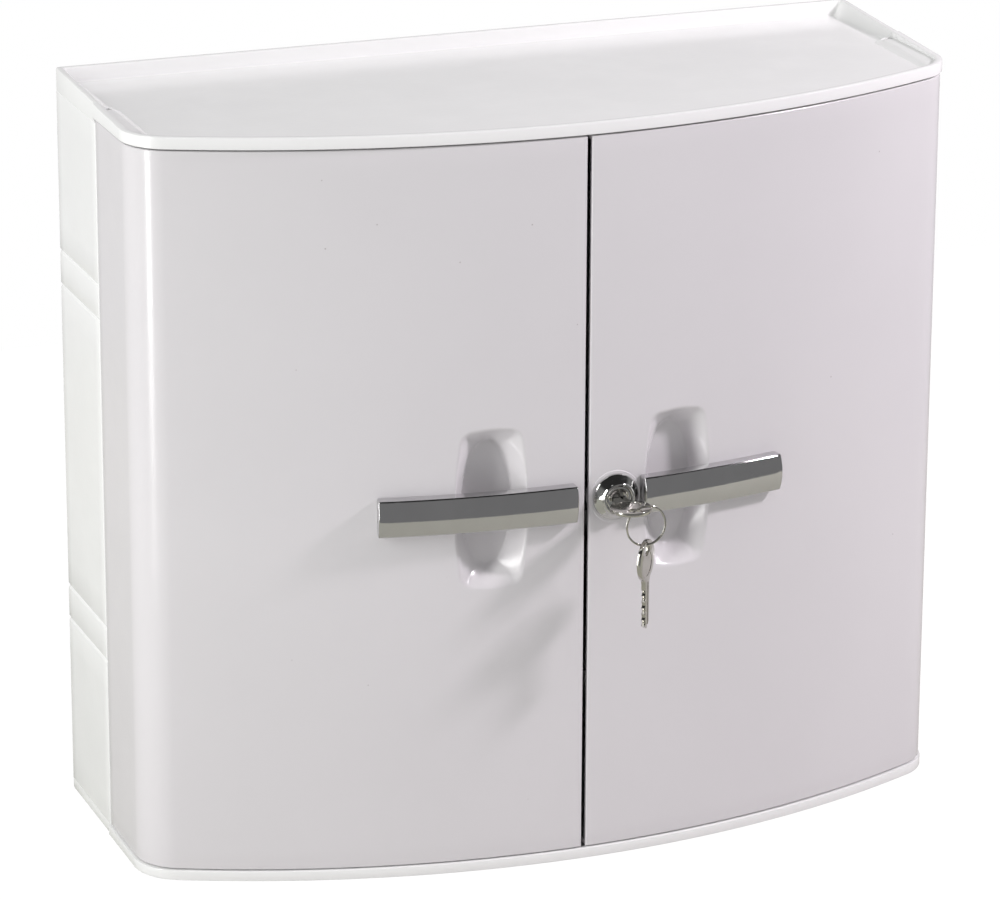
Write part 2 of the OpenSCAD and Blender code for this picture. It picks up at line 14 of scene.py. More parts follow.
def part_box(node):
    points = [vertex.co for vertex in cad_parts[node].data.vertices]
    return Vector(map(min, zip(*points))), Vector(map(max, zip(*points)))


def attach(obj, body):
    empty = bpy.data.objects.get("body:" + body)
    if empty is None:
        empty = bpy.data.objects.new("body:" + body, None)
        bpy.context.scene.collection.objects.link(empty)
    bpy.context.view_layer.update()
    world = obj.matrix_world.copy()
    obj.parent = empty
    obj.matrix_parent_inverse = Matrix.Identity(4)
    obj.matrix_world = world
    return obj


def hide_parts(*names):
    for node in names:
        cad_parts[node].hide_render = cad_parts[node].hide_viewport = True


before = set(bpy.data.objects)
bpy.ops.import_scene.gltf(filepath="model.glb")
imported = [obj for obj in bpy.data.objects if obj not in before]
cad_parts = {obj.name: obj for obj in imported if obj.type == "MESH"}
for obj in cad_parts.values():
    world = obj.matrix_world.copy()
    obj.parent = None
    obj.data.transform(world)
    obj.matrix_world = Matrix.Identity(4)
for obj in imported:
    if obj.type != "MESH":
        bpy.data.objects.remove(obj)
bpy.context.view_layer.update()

MM = 0.001

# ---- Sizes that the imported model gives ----
panel_lo, panel_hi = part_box("right_side_panel")
door_lo, door_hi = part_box("right_door")
housing_lo, housing_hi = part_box("lock_housing")
plug_lo, plug_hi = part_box("lock_plug")
key_lo, key_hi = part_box("key")
ring_lo, ring_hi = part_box("key_ring")
spare_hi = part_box("spare_key")[1]
handle_lo, handle_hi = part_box("left_handle")
shelf_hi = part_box("middle_shelf")[1]
low_shelf_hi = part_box("lower_shelf")[1]

HALF_W = panel_hi.x
SIDE_D = -panel_lo.y
RIM_Z = panel_hi.z
PANEL_BASE_Z = panel_lo.z
DOOR_BASE_Z = door_lo.z
DOOR_TOP_Z = door_hi.z
DOOR_REAR = -door_hi.y
TOP_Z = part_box("top_tray")[1].z
BASE_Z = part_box("bottom_tray")[0].z
HANDLE_Z = (handle_lo.z + handle_hi.z) / 2
LOCK_X = (housing_lo.x + housing_hi.x) / 2
BEZEL_R = (housing_hi.x - housing_lo.x) / 2

# ---- Sizes of the case and the doors ----
BOW_R = 480 * MM
CASE_D = 180 * MM
CORNER_R = 25 * MM
SIDE_T = 2.8 * MM
DOOR_T = 3 * MM
DOOR_EDGE_R = 0.7 * MM
SEAM_TRIM = 0.25 * MM
SEAM = door_lo.x + SEAM_TRIM
FLANGE_W = 9 * MM
FLANGE_T = 2.5 * MM
PIN_IN = 5.5 * MM
PIN_FWD = 12 * MM
PIN_EAR_R = 6 * MM
PIN_BOSS_R = 4 * MM
BOW_CY = BOW_R - CASE_D
CORNER_CX = HALF_W - CORNER_R
CORNER_CY = BOW_CY - sqrt((BOW_R - CORNER_R) ** 2 - CORNER_CX ** 2)
TANGENT = asin(CORNER_CX / (BOW_R - CORNER_R))
BOW_L = BOW_R * TANGENT
CORNER_L = CORNER_R * (pi / 2 - TANGENT)
DOOR_END = BOW_L + CORNER_L - DOOR_REAR - CORNER_CY

# ---- Trays and what they carry ----
FLOOR_Z = TOP_Z - 7.4 * MM
TOP_BEAD_Z = FLOOR_Z - 2 * MM
TOP_BEAD_TOP = TOP_BEAD_Z + 6 * MM
BEAD_PROUD = 0.98 * MM
RIM_T = 3 * MM
BASE_FLOOR_Z = BASE_Z + 3 * MM
BASE_BEAD_TOP = BASE_Z + 5.35 * MM
BOSS_W = 10 * MM
BOSS_D = 11 * MM
BACK_T = 2.6 * MM
SCREW_X = 150 * MM
SCREW_Z = 60 * MM
LEDGE_W = 8 * MM
SHELF_T = 2.5 * MM

# ---- Finger recesses ----
RECESS_X = 49.5 * MM
RECESS_HALF_W = 18.7 * MM
RECESS_HALF_H = 41.6 * MM
RECESS_DEPTH = 11.6 * MM

# ---- Small gaps and overlaps ----
SUNK = 0.5 * MM
TOUCH = 0.2 * MM
NEAR = 0.1 * MM
HAIR = 0.02 * MM


# ======== Mesh tools ========

class Mesh:
    """Collects the closed surfaces that make one piece."""

    def __init__(self):
        self.verts = []
        self.faces = []

    def add(self, verts, faces, flip=False):
        first = len(self.verts)
        self.verts += [tuple(v) for v in verts]
        for face in faces:
            face = face[::-1] if flip else face
            self.faces.append([first + i for i in face])

    def mirrored(self):
        other = Mesh()
        other.add([(-x, y, z) for x, y, z in self.verts], self.faces, flip=True)
        return other

    def object(self, name, sharp=40):
        mesh = bpy.data.meshes.new(name)
        mesh.from_pydata(self.verts, [], self.faces)
        mesh.validate()
        smooth(mesh, sharp)
        obj = bpy.data.objects.new(name, mesh)
        bpy.context.scene.collection.objects.link(obj)
        return obj


def smooth(mesh, sharp):
    """Shades a mesh smooth, but for edges that turn by more than a number of degrees."""
    mesh.shade_smooth()
    mesh.set_sharp_from_angle(angle=radians(sharp))


def steps(start, end, pitch):
    """Even steps from start to end, at most a pitch apart, both ends included."""
    count = max(1, ceil(abs(end - start) / pitch))
    return [start + (end - start) * i / count for i in range(count + 1)]


def quarter_turn(count=4):
    """Even angles of a quarter turn, without its end."""
    return [pi / 2 * i / count for i in range(count)]


def rounded_span(inner, lo, hi, radius):
    """Positions from lo to hi with how far a rounded edge sinks at each of them."""
    turn = quarter_turn()
    span = [(lo + radius * (1 - cos(a)), radius * (1 - sin(a))) for a in turn]
    span += [(p, 0.0) for p in inner]
    span += [(hi - radius * (1 - cos(a)), radius * (1 - sin(a))) for a in reversed(turn)]
    return span


def smoothstep(t):
    """Eases from 0 to 1, and stays at either end."""
    t = min(max(t, 0.0), 1.0)
    return t * t * (3 - 2 * t)


def quads(rows, columns, closed_rows=False, closed_columns=False):
    """Faces of a grid of rows by columns."""
    faces = []
    for r in range(rows if closed_rows else rows - 1):
        for c in range(columns if closed_columns else columns - 1):
            r2, c2 = (r + 1) % rows, (c + 1) % columns
            faces.append([r * columns + c, r2 * columns + c, r2 * columns + c2, r * columns + c2])
    return faces


def add_shell(mesh, path, s_span, z_span, thickness, front=None, back=None):
    """A sheet of even thickness along a path, with round edges, dished by front and back."""
    outer, inner = [], []
    for s, s_drop in s_span:
        point, normal = path(s)
        for z, z_drop in z_span:
            drop = min(s_drop + z_drop, max(s_span[0][1], z_span[0][1]))
            out_off = drop + (front(s, z) if front else 0)
            in_off = thickness - drop + (back(s, z) if back else 0)
            outer.append((*(point - normal * out_off), z))
            inner.append((*(point - normal * in_off), z))
    rows, columns = len(s_span), len(z_span)
    grid = quads(rows, columns)
    faces = [list(f) for f in grid]
    size = rows * columns
    faces += [[size + i for i in reversed(f)] for f in grid]
    ring = [r * columns for r in range(rows)]
    ring += [(rows - 1) * columns + c for c in range(1, columns)]
    ring += [r * columns + columns - 1 for r in range(rows - 2, -1, -1)]
    ring += list(range(columns - 2, 0, -1))
    for i, a in enumerate(ring):
        b = ring[(i + 1) % len(ring)]
        faces.append([a, size + a, size + b, b])
    mesh.add(outer + inner, faces)


def add_sweep(mesh, rings):
    """A skin over rings of equal counts, with flat ends."""
    count = len(rings[0])
    faces = quads(len(rings), count, closed_columns=True)
    faces.append(list(range(count)))
    faces.append([(len(rings) - 1) * count + i for i in reversed(range(count))])
    mesh.add([v for ring in rings for v in ring], faces)


def add_turned(mesh, profile, place, count=96):
    """A profile of (radius, height) turned about the height axis; a radius of 0 closes it."""
    verts, rows = [], []
    turn = [2 * pi * i / count for i in range(count)]
    for radius, height in profile:
        if radius == 0:
            rows.append([len(verts)])
            verts.append(place @ Vector((0, 0, height)))
            continue
        rows.append(list(range(len(verts), len(verts) + count)))
        verts += [place @ Vector((radius * cos(a), radius * sin(a), height)) for a in turn]
    faces = []
    closed = profile[0][0] != 0
    for a, b in zip(rows, rows[1:] + rows[:1] if closed else rows[1:]):
        for i in range(count):
            j = (i + 1) % count
            if len(a) == 1:
                faces.append([a[0], b[i], b[j]])
            elif len(b) == 1:
                faces.append([a[i], b[0], a[j]])
            else:
                faces.append([a[i], b[i], b[j], a[j]])
    mesh.add(verts, faces)


def add_block(mesh, lo, hi, radius=0.4 * MM):
    """A box with rounded edges."""
    bm = bmesh.new()
    bmesh.ops.create_cube(bm, size=1)
    size = Vector(hi) - Vector(lo)
    centre = (Vector(hi) + Vector(lo)) / 2
    for v in bm.verts:
        v.co = Vector(c * s for c, s in zip(v.co, size)) + centre
    edges = bm.edges[:]
    bmesh.ops.bevel(bm, geom=edges, offset=radius, segments=2, profile=0.5, affect="EDGES")
    mesh.add([v.co for v in bm.verts], [[v.index for v in f.verts] for f in bm.faces])
    bm.free()


def outward(obj):
    """Turns every face of a closed piece outwards."""
    bm = bmesh.new()
    bm.from_mesh(obj.data)
    bmesh.ops.recalc_face_normals(bm, faces=bm.faces)
    bm.to_mesh(obj.data)
    bm.free()
    return obj


def cut(obj, *cutters):
    """Takes the cutters out of a piece and deletes them."""
    for cutter in cutters:
        outward(cutter)
        mod = obj.modifiers.new("cut", "BOOLEAN")
        mod.operation = "DIFFERENCE"
        mod.solver = "EXACT"
        mod.object = cutter
    apply_modifiers(obj)
    for cutter in cutters:
        bpy.data.objects.remove(cutter)


def apply_modifiers(obj):
    """Turns what a piece's modifiers make into its own mesh."""
    graph = bpy.context.evaluated_depsgraph_get()
    obj.data = bpy.data.meshes.new_from_object(obj.evaluated_get(graph))
    obj.modifiers.clear()


# ======== Outline of the cabinet ========

def half_outline(s):
    """Point and outward normal at s along the right half of the outline, from its middle."""
    if s <= BOW_L:
        a = s / BOW_R
        normal = Vector((sin(a), -cos(a)))
        return Vector((0, BOW_CY)) + normal * BOW_R, normal
    if s <= BOW_L + CORNER_L:
        a = TANGENT + (s - BOW_L) / CORNER_R
        normal = Vector((sin(a), -cos(a)))
        return Vector((CORNER_CX, CORNER_CY)) + normal * CORNER_R, normal
    return Vector((HALF_W, CORNER_CY + s - BOW_L - CORNER_L)), Vector((1, 0))


def side_line(s):
    """Point and outward normal at s in from the front edge of the right side panel."""
    return Vector((HALF_W, -SIDE_D + s)), Vector((1, 0))


# ======== Materials ========

# The middle of a noise, which is spread over the whole range asked for
NOISE_LOW, NOISE_HIGH = 0.3, 0.7
# Sockets of a Mix node for colours
MIX_SHARE, MIX_FIRST, MIX_SECOND, MIX_RESULT = 0, 6, 7, 2

# White plastic: scales of its noises, and how far they act
CLOUD_SCALE, CLOUD_DARK = 9, 0.975
GLOSS_SCALE, GLOSS_LOW, GLOSS_HIGH = 35, 0.8, 1.25
PEEL_SCALE, PEEL_H = 420, 0.02 * MM
PLASTIC_IOR = 1.49
DUST_SCALE, DUST_CORE, DUST_EDGE = 55, 0.012, 0.03
DUST_TONE = (0.25, 0.2, 0.2)

# Plated metal
TARNISH_SCALE, TARNISH_DARK = 60, 0.94
WIPE_SCALE, WIPE_H, WIPE_STRENGTH = 180, 0.01 * MM, 0.4
WIPED = (1, 1, 6)
EVEN = (1, 1, 1)

# Dark plastic
GRAIN_SCALE, GRAIN_H = 900, 0.05 * MM
BLACK_DARK, BLACK_LIGHT = (0.02, 0.02, 0.022), (0.035, 0.035, 0.038)
BLACK_SMOOTH, BLACK_ROUGH = 0.45, 0.6


def new_material(name):
    mat = bpy.data.materials.new(name)
    mat.use_nodes = True
    return mat, mat.node_tree.nodes, mat.node_tree.links, mat.node_tree.nodes["Principled BSDF"]


def noise(nodes, links, scale, detail, stretch=None):
    """Noise over a piece's own coordinates."""
    coords = nodes.new("ShaderNodeTexCoord")
    tex = nodes.new("ShaderNodeTexNoise")
    tex.inputs["Scale"].default_value = scale
    tex.inputs["Detail"].default_value = detail
    source = coords.outputs["Object"]
    if stretch:
        mapping = nodes.new("ShaderNodeMapping")
        mapping.inputs["Scale"].default_value = stretch
        links.new(source, mapping.inputs["Vector"])
        source = mapping.outputs["Vector"]
    links.new(source, tex.inputs["Vector"])
    return tex.outputs["Fac"]


def map_range(nodes, links, value, source, target=(0, 1)):
    """Maps the source range of a value onto the target range."""
    node = nodes.new("ShaderNodeMapRange")
    node.inputs["From Min"].default_value, node.inputs["From Max"].default_value = source
    node.inputs["To Min"].default_value, node.inputs["To Max"].default_value = target
    links.new(value, node.inputs["Value"])
    return node.outputs["Result"]


def spread(nodes, links, value, low, high):
    """Maps the middle of a noise onto low to high."""
    return map_range(nodes, links, value, (NOISE_LOW, NOISE_HIGH), (low, high))


def shades(nodes, links, value, dark, light):
    """Maps the middle of a noise onto a run between two colours."""
    ramp = nodes.new("ShaderNodeValToRGB")
    first, last = ramp.color_ramp.elements
    first.position, last.position = NOISE_LOW, NOISE_HIGH
    first.color, last.color = (*dark, 1), (*light, 1)
    links.new(value, ramp.inputs["Fac"])
    return ramp.outputs["Color"]


def mix_colours(nodes, links, share, first, second):
    """Mixes two colours, each a tone or a socket; a share of 1 gives the second."""
    node = nodes.new("ShaderNodeMix")
    node.data_type = "RGBA"
    links.new(share, node.inputs[MIX_SHARE])
    for index, colour in ((MIX_FIRST, first), (MIX_SECOND, second)):
        if isinstance(colour, tuple):
            node.inputs[index].default_value = (*colour, 1)
        else:
            links.new(colour, node.inputs[index])
    return node.outputs[MIX_RESULT]


def bump(nodes, links, shader, value, height, strength=1.0):
    """Raises a surface by a height where a value is 1."""
    node = nodes.new("ShaderNodeBump")
    node.inputs["Strength"].default_value = strength
    node.inputs["Distance"].default_value = height
    links.new(value, node.inputs["Height"])
    links.new(node.outputs["Normal"], shader.inputs["Normal"])


def dust(nodes, links, colour, amount):
    """Darkens a few specks of dust, about half a millimetre across."""
    coords = nodes.new("ShaderNodeTexCoord")
    cells = nodes.new("ShaderNodeTexVoronoi")
    cells.inputs["Scale"].default_value = DUST_SCALE
    links.new(coords.outputs["Object"], cells.inputs["Vector"])
    distance = cells.outputs["Distance"]
    speck = map_range(nodes, links, distance, (DUST_CORE, DUST_EDGE), (amount, 0))
    return mix_colours(nodes, links, speck, colour, DUST_TONE)


def white_plastic(name, tone, roughness, dusty=0.0):
    """Glossy moulded plastic: faint clouds, a fine orange peel and uneven gloss."""
    mat, nodes, links, shader = new_material(name)
    clouds = noise(nodes, links, CLOUD_SCALE, detail=3)
    colour = shades(nodes, links, clouds, [c * CLOUD_DARK for c in tone], tone)
    if dusty:
        colour = dust(nodes, links, colour, dusty)
    links.new(colour, shader.inputs["Base Color"])
    sheen = noise(nodes, links, GLOSS_SCALE, detail=4)
    gloss = spread(nodes, links, sheen, roughness * GLOSS_LOW, roughness * GLOSS_HIGH)
    links.new(gloss, shader.inputs["Roughness"])
    shader.inputs["IOR"].default_value = PLASTIC_IOR
    bump(nodes, links, shader, noise(nodes, links, PEEL_SCALE, detail=2), PEEL_H)
    return mat


def plated(name, tone, roughness, wear=0.03, stretch=WIPED):
    """Plated metal: uneven polish, fine marks and slight tone clouds."""
    mat, nodes, links, shader = new_material(name)
    shader.inputs["Metallic"].default_value = 1
    clouds = noise(nodes, links, TARNISH_SCALE, detail=3)
    colour = shades(nodes, links, clouds, [c * TARNISH_DARK for c in tone], tone)
    links.new(colour, shader.inputs["Base Color"])
    marks = noise(nodes, links, WIPE_SCALE, detail=5, stretch=stretch)
    polish = spread(nodes, links, marks, roughness - wear, roughness + wear)
    links.new(polish, shader.inputs["Roughness"])
    bump(nodes, links, shader, marks, WIPE_H, WIPE_STRENGTH)
    return mat


def dark_plastic(name):
    mat, nodes, links, shader = new_material(name)
    grain = noise(nodes, links, GRAIN_SCALE, detail=3)
    links.new(shades(nodes, links, grain, BLACK_DARK, BLACK_LIGHT), shader.inputs["Base Color"])
    links.new(spread(nodes, links, grain, BLACK_SMOOTH, BLACK_ROUGH), shader.inputs["Roughness"])
    bump(nodes, links, shader, grain, GRAIN_H)
    return mat


CASE_WHITE = white_plastic("case_white", (0.925, 0.93, 0.925), 0.2)
DOOR_WHITE = white_plastic("door_white", (0.765, 0.748, 0.765), 0.19, dusty=0.5)
CHROME = plated("chrome", (0.66, 0.655, 0.665), 0.085)
LOCK_CHROME = plated("lock_chrome", (0.64, 0.64, 0.63), 0.07)
NICKEL = plated("nickel", (0.58, 0.565, 0.525), 0.15, 0.05, EVEN)
ZINC = plated("zinc", (0.62, 0.63, 0.65), 0.32, 0.08)
BLACK = dark_plastic("black_plastic")


def finish_piece(obj, material, slot, body, *replaced):
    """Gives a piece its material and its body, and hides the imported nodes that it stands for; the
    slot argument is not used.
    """
    obj.data.materials.clear()
    obj.data.materials.append(material)
    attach(obj, body)
    if replaced:
        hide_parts(*replaced)


# ======== Doors ========

# Form of a recess, as shares of its half width, its half height and its depth
RECESS_CORNER = 0.32
RECESS_TAPER = 0.15
RECESS_END_BOW = 0.03
RECESS_OVAL_W, RECESS_OVAL_H = 0.68, 0.76
RECESS_BEND = 0.13
RECESS_BOWL = 0.05

# Mesh pitches: along the bow, near its middle, round the corner, over a recess, and up a door
BOW_PITCH = 6 * MM
MIDDLE_PITCH = 3 * MM
CORNER_PITCH = 1.4 * MM
RECESS_PITCH = 0.7 * MM
RECESS_RISE_PITCH = 0.9 * MM
RISE_PITCH = 9 * MM
EAR_PITCH = 0.8 * MM

FLANGE_SOFT = 0.4 * MM
LOCK_SEAT_RIM = 1.5 * MM
LOCK_SEAT_EDGE = 0.25 * MM


def soft_ramp(t, bend):
    """Straight climb from 0 to 1 with a short bend at both ends."""
    if t < bend:
        return t * t / (2 * bend * (1 - bend))
    if t > 1 - bend:
        return 1 - soft_ramp(1 - t, bend)
    return (t - bend / 2) / (1 - bend)


def recess_fall(u, v, grow):
    """Depth of a recess at u across and v up from its middle: barrel-shaped rim, oval floor."""
    half_w, half_h = RECESS_HALF_W + grow, RECESS_HALF_H + grow
    corner = RECESS_CORNER * half_w
    side = half_w * (1 - RECESS_TAPER * (v / half_h) ** 2)
    end = half_h * (1 - RECESS_END_BOW * (u / half_w) ** 2)
    qx = abs(u) - side + corner
    qz = abs(v) - end + corner
    inside = corner - hypot(max(qx, 0), max(qz, 0)) - min(max(qx, qz), 0)
    if inside <= 0:
        return 0.0
    oval = hypot(u / (RECESS_OVAL_W * half_w), v / (RECESS_OVAL_H * half_h))
    beyond = hypot(u, v) * (1 - 1 / oval) if oval > 1 else 0.0
    wall = inside / (inside + beyond)
    bowl = RECESS_BOWL * (1 - min(oval, 1) ** 2)
    return RECESS_DEPTH * ((1 - RECESS_BOWL) * soft_ramp(wall, RECESS_BEND) + bowl)


def door_panel(lock_seat):
    """The right door; the left one is its mirror image, without the lock's seat."""
    mesh = Mesh()
    recess_s = BOW_R * asin(RECESS_X / BOW_R)
    near, far = recess_s - RECESS_HALF_W - DOOR_T, recess_s + RECESS_HALF_W + DOOR_T
    first, last = SEAM + DOOR_EDGE_R, DOOR_END - DOOR_EDGE_R
    run = steps(first, near, MIDDLE_PITCH)[:-1] + steps(near, far, RECESS_PITCH)
    run += steps(far, BOW_L, BOW_PITCH)[1:]
    run += steps(BOW_L, BOW_L + CORNER_L, CORNER_PITCH)[1:]
    run += steps(run[-1], last, BOW_PITCH)[1:]
    low, high = HANDLE_Z - RECESS_HALF_H - DOOR_T, HANDLE_Z + RECESS_HALF_H + DOOR_T
    bottom, top = DOOR_BASE_Z + DOOR_EDGE_R, DOOR_TOP_Z - DOOR_EDGE_R
    rise = steps(bottom, low, RISE_PITCH)[:-1] + steps(low, high, RECESS_RISE_PITCH)
    rise += steps(high, top, RISE_PITCH)[1:]

    def front(s, z):
        return recess_fall(s - recess_s, z - HANDLE_Z, 0)

    def back(s, z):
        return recess_fall(s - recess_s, z - HANDLE_Z, DOOR_T)

    s_span = rounded_span(run, SEAM, DOOR_END, DOOR_EDGE_R)
    z_span = rounded_span(rise, DOOR_BASE_Z, DOOR_TOP_Z, DOOR_EDGE_R)
    add_shell(mesh, half_outline, s_span, z_span, DOOR_T, front, back)
    add_flange(mesh, DOOR_TOP_Z - FLANGE_T, DOOR_TOP_Z - NEAR)
    add_flange(mesh, DOOR_BASE_Z + NEAR, DOOR_BASE_Z + FLANGE_T)
    if lock_seat:
        add_lock_seat(mesh)
    return mesh


def add_lock_seat(mesh):
    """Flat round seat under the lock's bezel, level with the front of the bow."""
    place = Matrix.Translation((LOCK_X, door_lo.y, HANDLE_Z)) @ Matrix.Rotation(-pi / 2, 4, "X")
    seat_r = BEZEL_R + LOCK_SEAT_RIM
    profile = [(0, 0), (seat_r - LOCK_SEAT_EDGE, 0), (seat_r, LOCK_SEAT_EDGE),
               (seat_r, 2 * DOOR_T), (0, 2 * DOOR_T)]
    add_turned(mesh, profile, place)


def add_flange(mesh, low, high):
    """Inward flange of a door, with the ear round the hinge pin."""
    pin_s = DOOR_END - PIN_FWD
    ear = steps(pin_s - PIN_EAR_R, pin_s + PIN_EAR_R, EAR_PITCH)
    path = steps(SEAM + TOUCH, BOW_L, BOW_PITCH)
    path += steps(BOW_L, BOW_L + CORNER_L, CORNER_PITCH)[1:]
    path += [s for s in ear if s > path[-1]]
    path.append(DOOR_END - TOUCH)
    rings = []
    for s in path:
        point, normal = half_outline(s)
        reach = PIN_EAR_R ** 2 - (s - pin_s) ** 2
        width = max(FLANGE_W, PIN_IN + sqrt(reach)) if reach > 0 else FLANGE_W
        section = [(DOOR_T / 2, low), (DOOR_T / 2, high),
                   (width - FLANGE_SOFT, high), (width, high - FLANGE_SOFT),
                   (width, low + FLANGE_SOFT), (width - FLANGE_SOFT, low)]
        rings.append([(*(point - normal * off), z) for off, z in section])
    add_sweep(mesh, rings)


right_door = outward(door_panel(True).object("right_door_panel"))
finish_piece(right_door, DOOR_WHITE, "door_plastic", "right_door", "right_door")
left_door = outward(door_panel(False).mirrored().object("left_door_panel"))
finish_piece(left_door, DOOR_WHITE, "door_plastic", "left_door", "left_door")


# ======== Handles ========

HANDLE_T = 8 * MM
HANDLE_FACE_R = 22 * MM
HANDLE_EDGE_R = 1.1 * MM
HANDLE_END_R = 0.6 * MM
HANDLE_FOOT = 0.3 * MM
HANDLE_FAR = 106 * MM
LEFT_HANDLE_NEAR = -7 * MM
RIGHT_HANDLE_NEAR = 28.5 * MM
FACE_PITCH = 1.0 * MM
HANDLE_PITCH = radians(0.5)


def handle_section(inset):
    """Points (out from the bow, height) of a bar: flat back, convex face, rounded edges."""
    half = (handle_hi.z - handle_lo.z) / 2 - inset
    centre = HANDLE_T - inset - HANDLE_FACE_R
    span = half - HANDLE_EDGE_R
    face = [(centre + sqrt(HANDLE_FACE_R ** 2 - z * z), z) for z in steps(-span, span, FACE_PITCH)]
    edge_out = face[0][0] - HANDLE_EDGE_R
    low = [(edge_out + HANDLE_EDGE_R * sin(a), -span - HANDLE_EDGE_R * cos(a))
           for a in quarter_turn()]
    high = [(out, -z) for out, z in reversed(low)]
    back = HAIR + inset
    foot = [(back, -half + HANDLE_FOOT), (back + HANDLE_FOOT, -half)]
    head = [(out, -z) for out, z in reversed(foot)]
    return foot + low + face + high + head


def handle(name, from_x, to_x, body):
    """A bar that follows the bow between two distances from the middle, with rounded ends."""
    mesh = Mesh()
    start, end = asin(from_x / BOW_R), asin(to_x / BOW_R)
    end_r = HANDLE_END_R
    turn = quarter_turn()
    stations = [(start + end_r * (1 - cos(a)) / BOW_R, end_r * (1 - sin(a))) for a in turn]
    stations += [(a, 0) for a in steps(start + end_r / BOW_R, end - end_r / BOW_R, HANDLE_PITCH)]
    stations += [(end - end_r * (1 - cos(a)) / BOW_R, end_r * (1 - sin(a))) for a in reversed(turn)]
    rings = []
    for angle, inset in stations:
        section = [(BOW_R + out, z) for out, z in handle_section(inset)]
        rings.append([(reach * sin(angle), BOW_CY - reach * cos(angle), HANDLE_Z + z)
                      for reach, z in section])
    add_sweep(mesh, rings)
    obj = outward(mesh.object(name, sharp=50))
    finish_piece(obj, CHROME, "handle_chrome", body, body.replace("door", "handle"))


handle("left_handle_bar", -HANDLE_FAR, LEFT_HANDLE_NEAR, "left_door")
handle("right_handle_bar", RIGHT_HANDLE_NEAR, HANDLE_FAR, "right_door")


# ======== Trays ========

NOTCH_Y = -SIDE_D
# Stations along the sides, in mm behind the front edge of the side panels; the notch is ahead of it
NOTCH_STATIONS = (-3.4, -3.2, -0.6, -0.4, -0.1, 0.1, 0.4, 0.8)
NOTCH_FRONT, NOTCH_REAR = NOTCH_Y - 3.3 * MM, NOTCH_Y - 0.5 * MM
BEAD_END = NOTCH_Y - 0.2 * MM
PLATFORM_END = NOTCH_Y + 0.5 * MM
BACK_BEND = 22 * MM
BACK_STATIONS = [HALF_W - 10 * MM] + steps(HALF_W - BACK_BEND, 40 * MM, 60 * MM)
BACK_CORNER_R = 1.2 * MM
BACK_CORNER_GROWTH = 0.35

BOW_TURN, CORNER_TURN, BACK_TURN = radians(1), radians(6), radians(15)
SIDE_PITCH, REAR_SIDE_PITCH = 4 * MM, 12 * MM

# Inner walls of the top tray: mm in from the rim's inside, and share of the height over the floor
UPRIGHT_WALL = ((0.25, 0.66), (0.5, 0.4), (0.9, 0.2), (1.5, 0.06), (2.4, 0))
SLOPED_WALL = ((1.0, 0.76), (2.3, 0.5), (3.8, 0.27), (5.4, 0.08), (7.4, 0))
# Platform, and the hole in it at the notch: mm in from the rim's inside, and mm over the platform
PLATFORM = ((0.1, 0.2), (0.4, 0), (5.6, -0.1), (7.2, -1.1))
NOTCH_HOLE = ((0.1, -3.4), (3.6, -3.4), (4.2, 0))
PLATFORM_IN = 10.2 * MM
PLATFORM_Z = TOP_BEAD_TOP - 1.6 * MM

PANEL_GAP = 0.03 * MM
TOP_EDGE = 0.8 * MM
BEAD_SOFT, RIM_SOFT = 0.35 * MM, 0.12 * MM
BASE_FOOT = 0.6 * MM
BASE_INNER = 2 * MM
BASE_TRIM = 0.05 * MM
BASE_SOFT, BASE_BACK_SOFT = 0.4 * MM, 0.02 * MM


def tray_stations():
    """Kind, position and side of each station round a tray, from the middle of the bow on."""
    half = [("bow", a) for a in steps(0, TANGENT, BOW_TURN)]
    half += [("corner", a) for a in steps(TANGENT, pi / 2, CORNER_TURN)[1:]]
    notch = [NOTCH_Y + d * MM for d in NOTCH_STATIONS]
    run = steps(CORNER_CY + 1 * MM, notch[0], SIDE_PITCH) + notch[1:]
    run += steps(notch[-1], -BACK_BEND, REAR_SIDE_PITCH)[1:]
    half += [("side", y) for y in run]
    half += [("back_corner", a) for a in steps(0, pi / 2, BACK_TURN)]
    half += [("back", x) for x in BACK_STATIONS]
    left = [(kind, v, -1) for kind, v in reversed(half) if (kind, v) != ("bow", 0.0)]
    return [(kind, v, 1) for kind, v in half] + left


def tray_point(kind, v, side, inset):
    """Point of a station at an inset from the outline."""
    if kind == "bow":
        x, y = (BOW_R - inset) * sin(v), BOW_CY - (BOW_R - inset) * cos(v)
    elif kind == "corner":
        r = CORNER_R - inset
        x, y = CORNER_CX + r * sin(v), CORNER_CY - r * cos(v)
    elif kind == "side":
        x, y = HALF_W - inset, v
    elif kind == "back_corner":
        r = BACK_CORNER_R + BACK_CORNER_GROWTH * max(inset, 0)
        x, y = HALF_W - inset - r * (1 - cos(v)), -inset - r * (1 - sin(v))
    else:
        x, y = v, -inset
    return side * x, y


def front_share(kind, v):
    """1 on the front bead and 0 on the back, with an even fall along the sides."""
    if kind in ("bow", "corner"):
        return 1.0
    return v / CORNER_CY if kind == "side" else 0.0


def is_ahead(kind, v):
    """True on the bead, which ends just ahead of the side panels."""
    return kind in ("bow", "corner") or (kind == "side" and v < BEAD_END)


def wall_slope(kind, v):
    """1 where the inside of the rim slopes, at the sides; 0 where it is upright, front and back."""
    if kind == "back_corner":
        return 1 - smoothstep(v / (pi / 2))
    return 1.0 if kind == "side" else 0.0


def platform_share(kind, v):
    """1 on the platforms over the hinge pins, which run straight forward into the front bead."""
    if kind == "corner":
        wall_foot = UPRIGHT_WALL[-1][0] * MM
        inner_r = CORNER_R - RIM_T - PLATFORM_IN
        reach = CORNER_R - inner_r / sin(v) - RIM_T - wall_foot
        return min(max(reach / (PLATFORM_IN - wall_foot), 0.0), 1.0)
    return 1.0 if kind == "side" and v < PLATFORM_END else 0.0


def between(first, second, share):
    """Points of two equal sections, mixed."""
    return [(a + (c - a) * share, b + (d - b) * share) for (a, b), (c, d) in zip(first, second)]


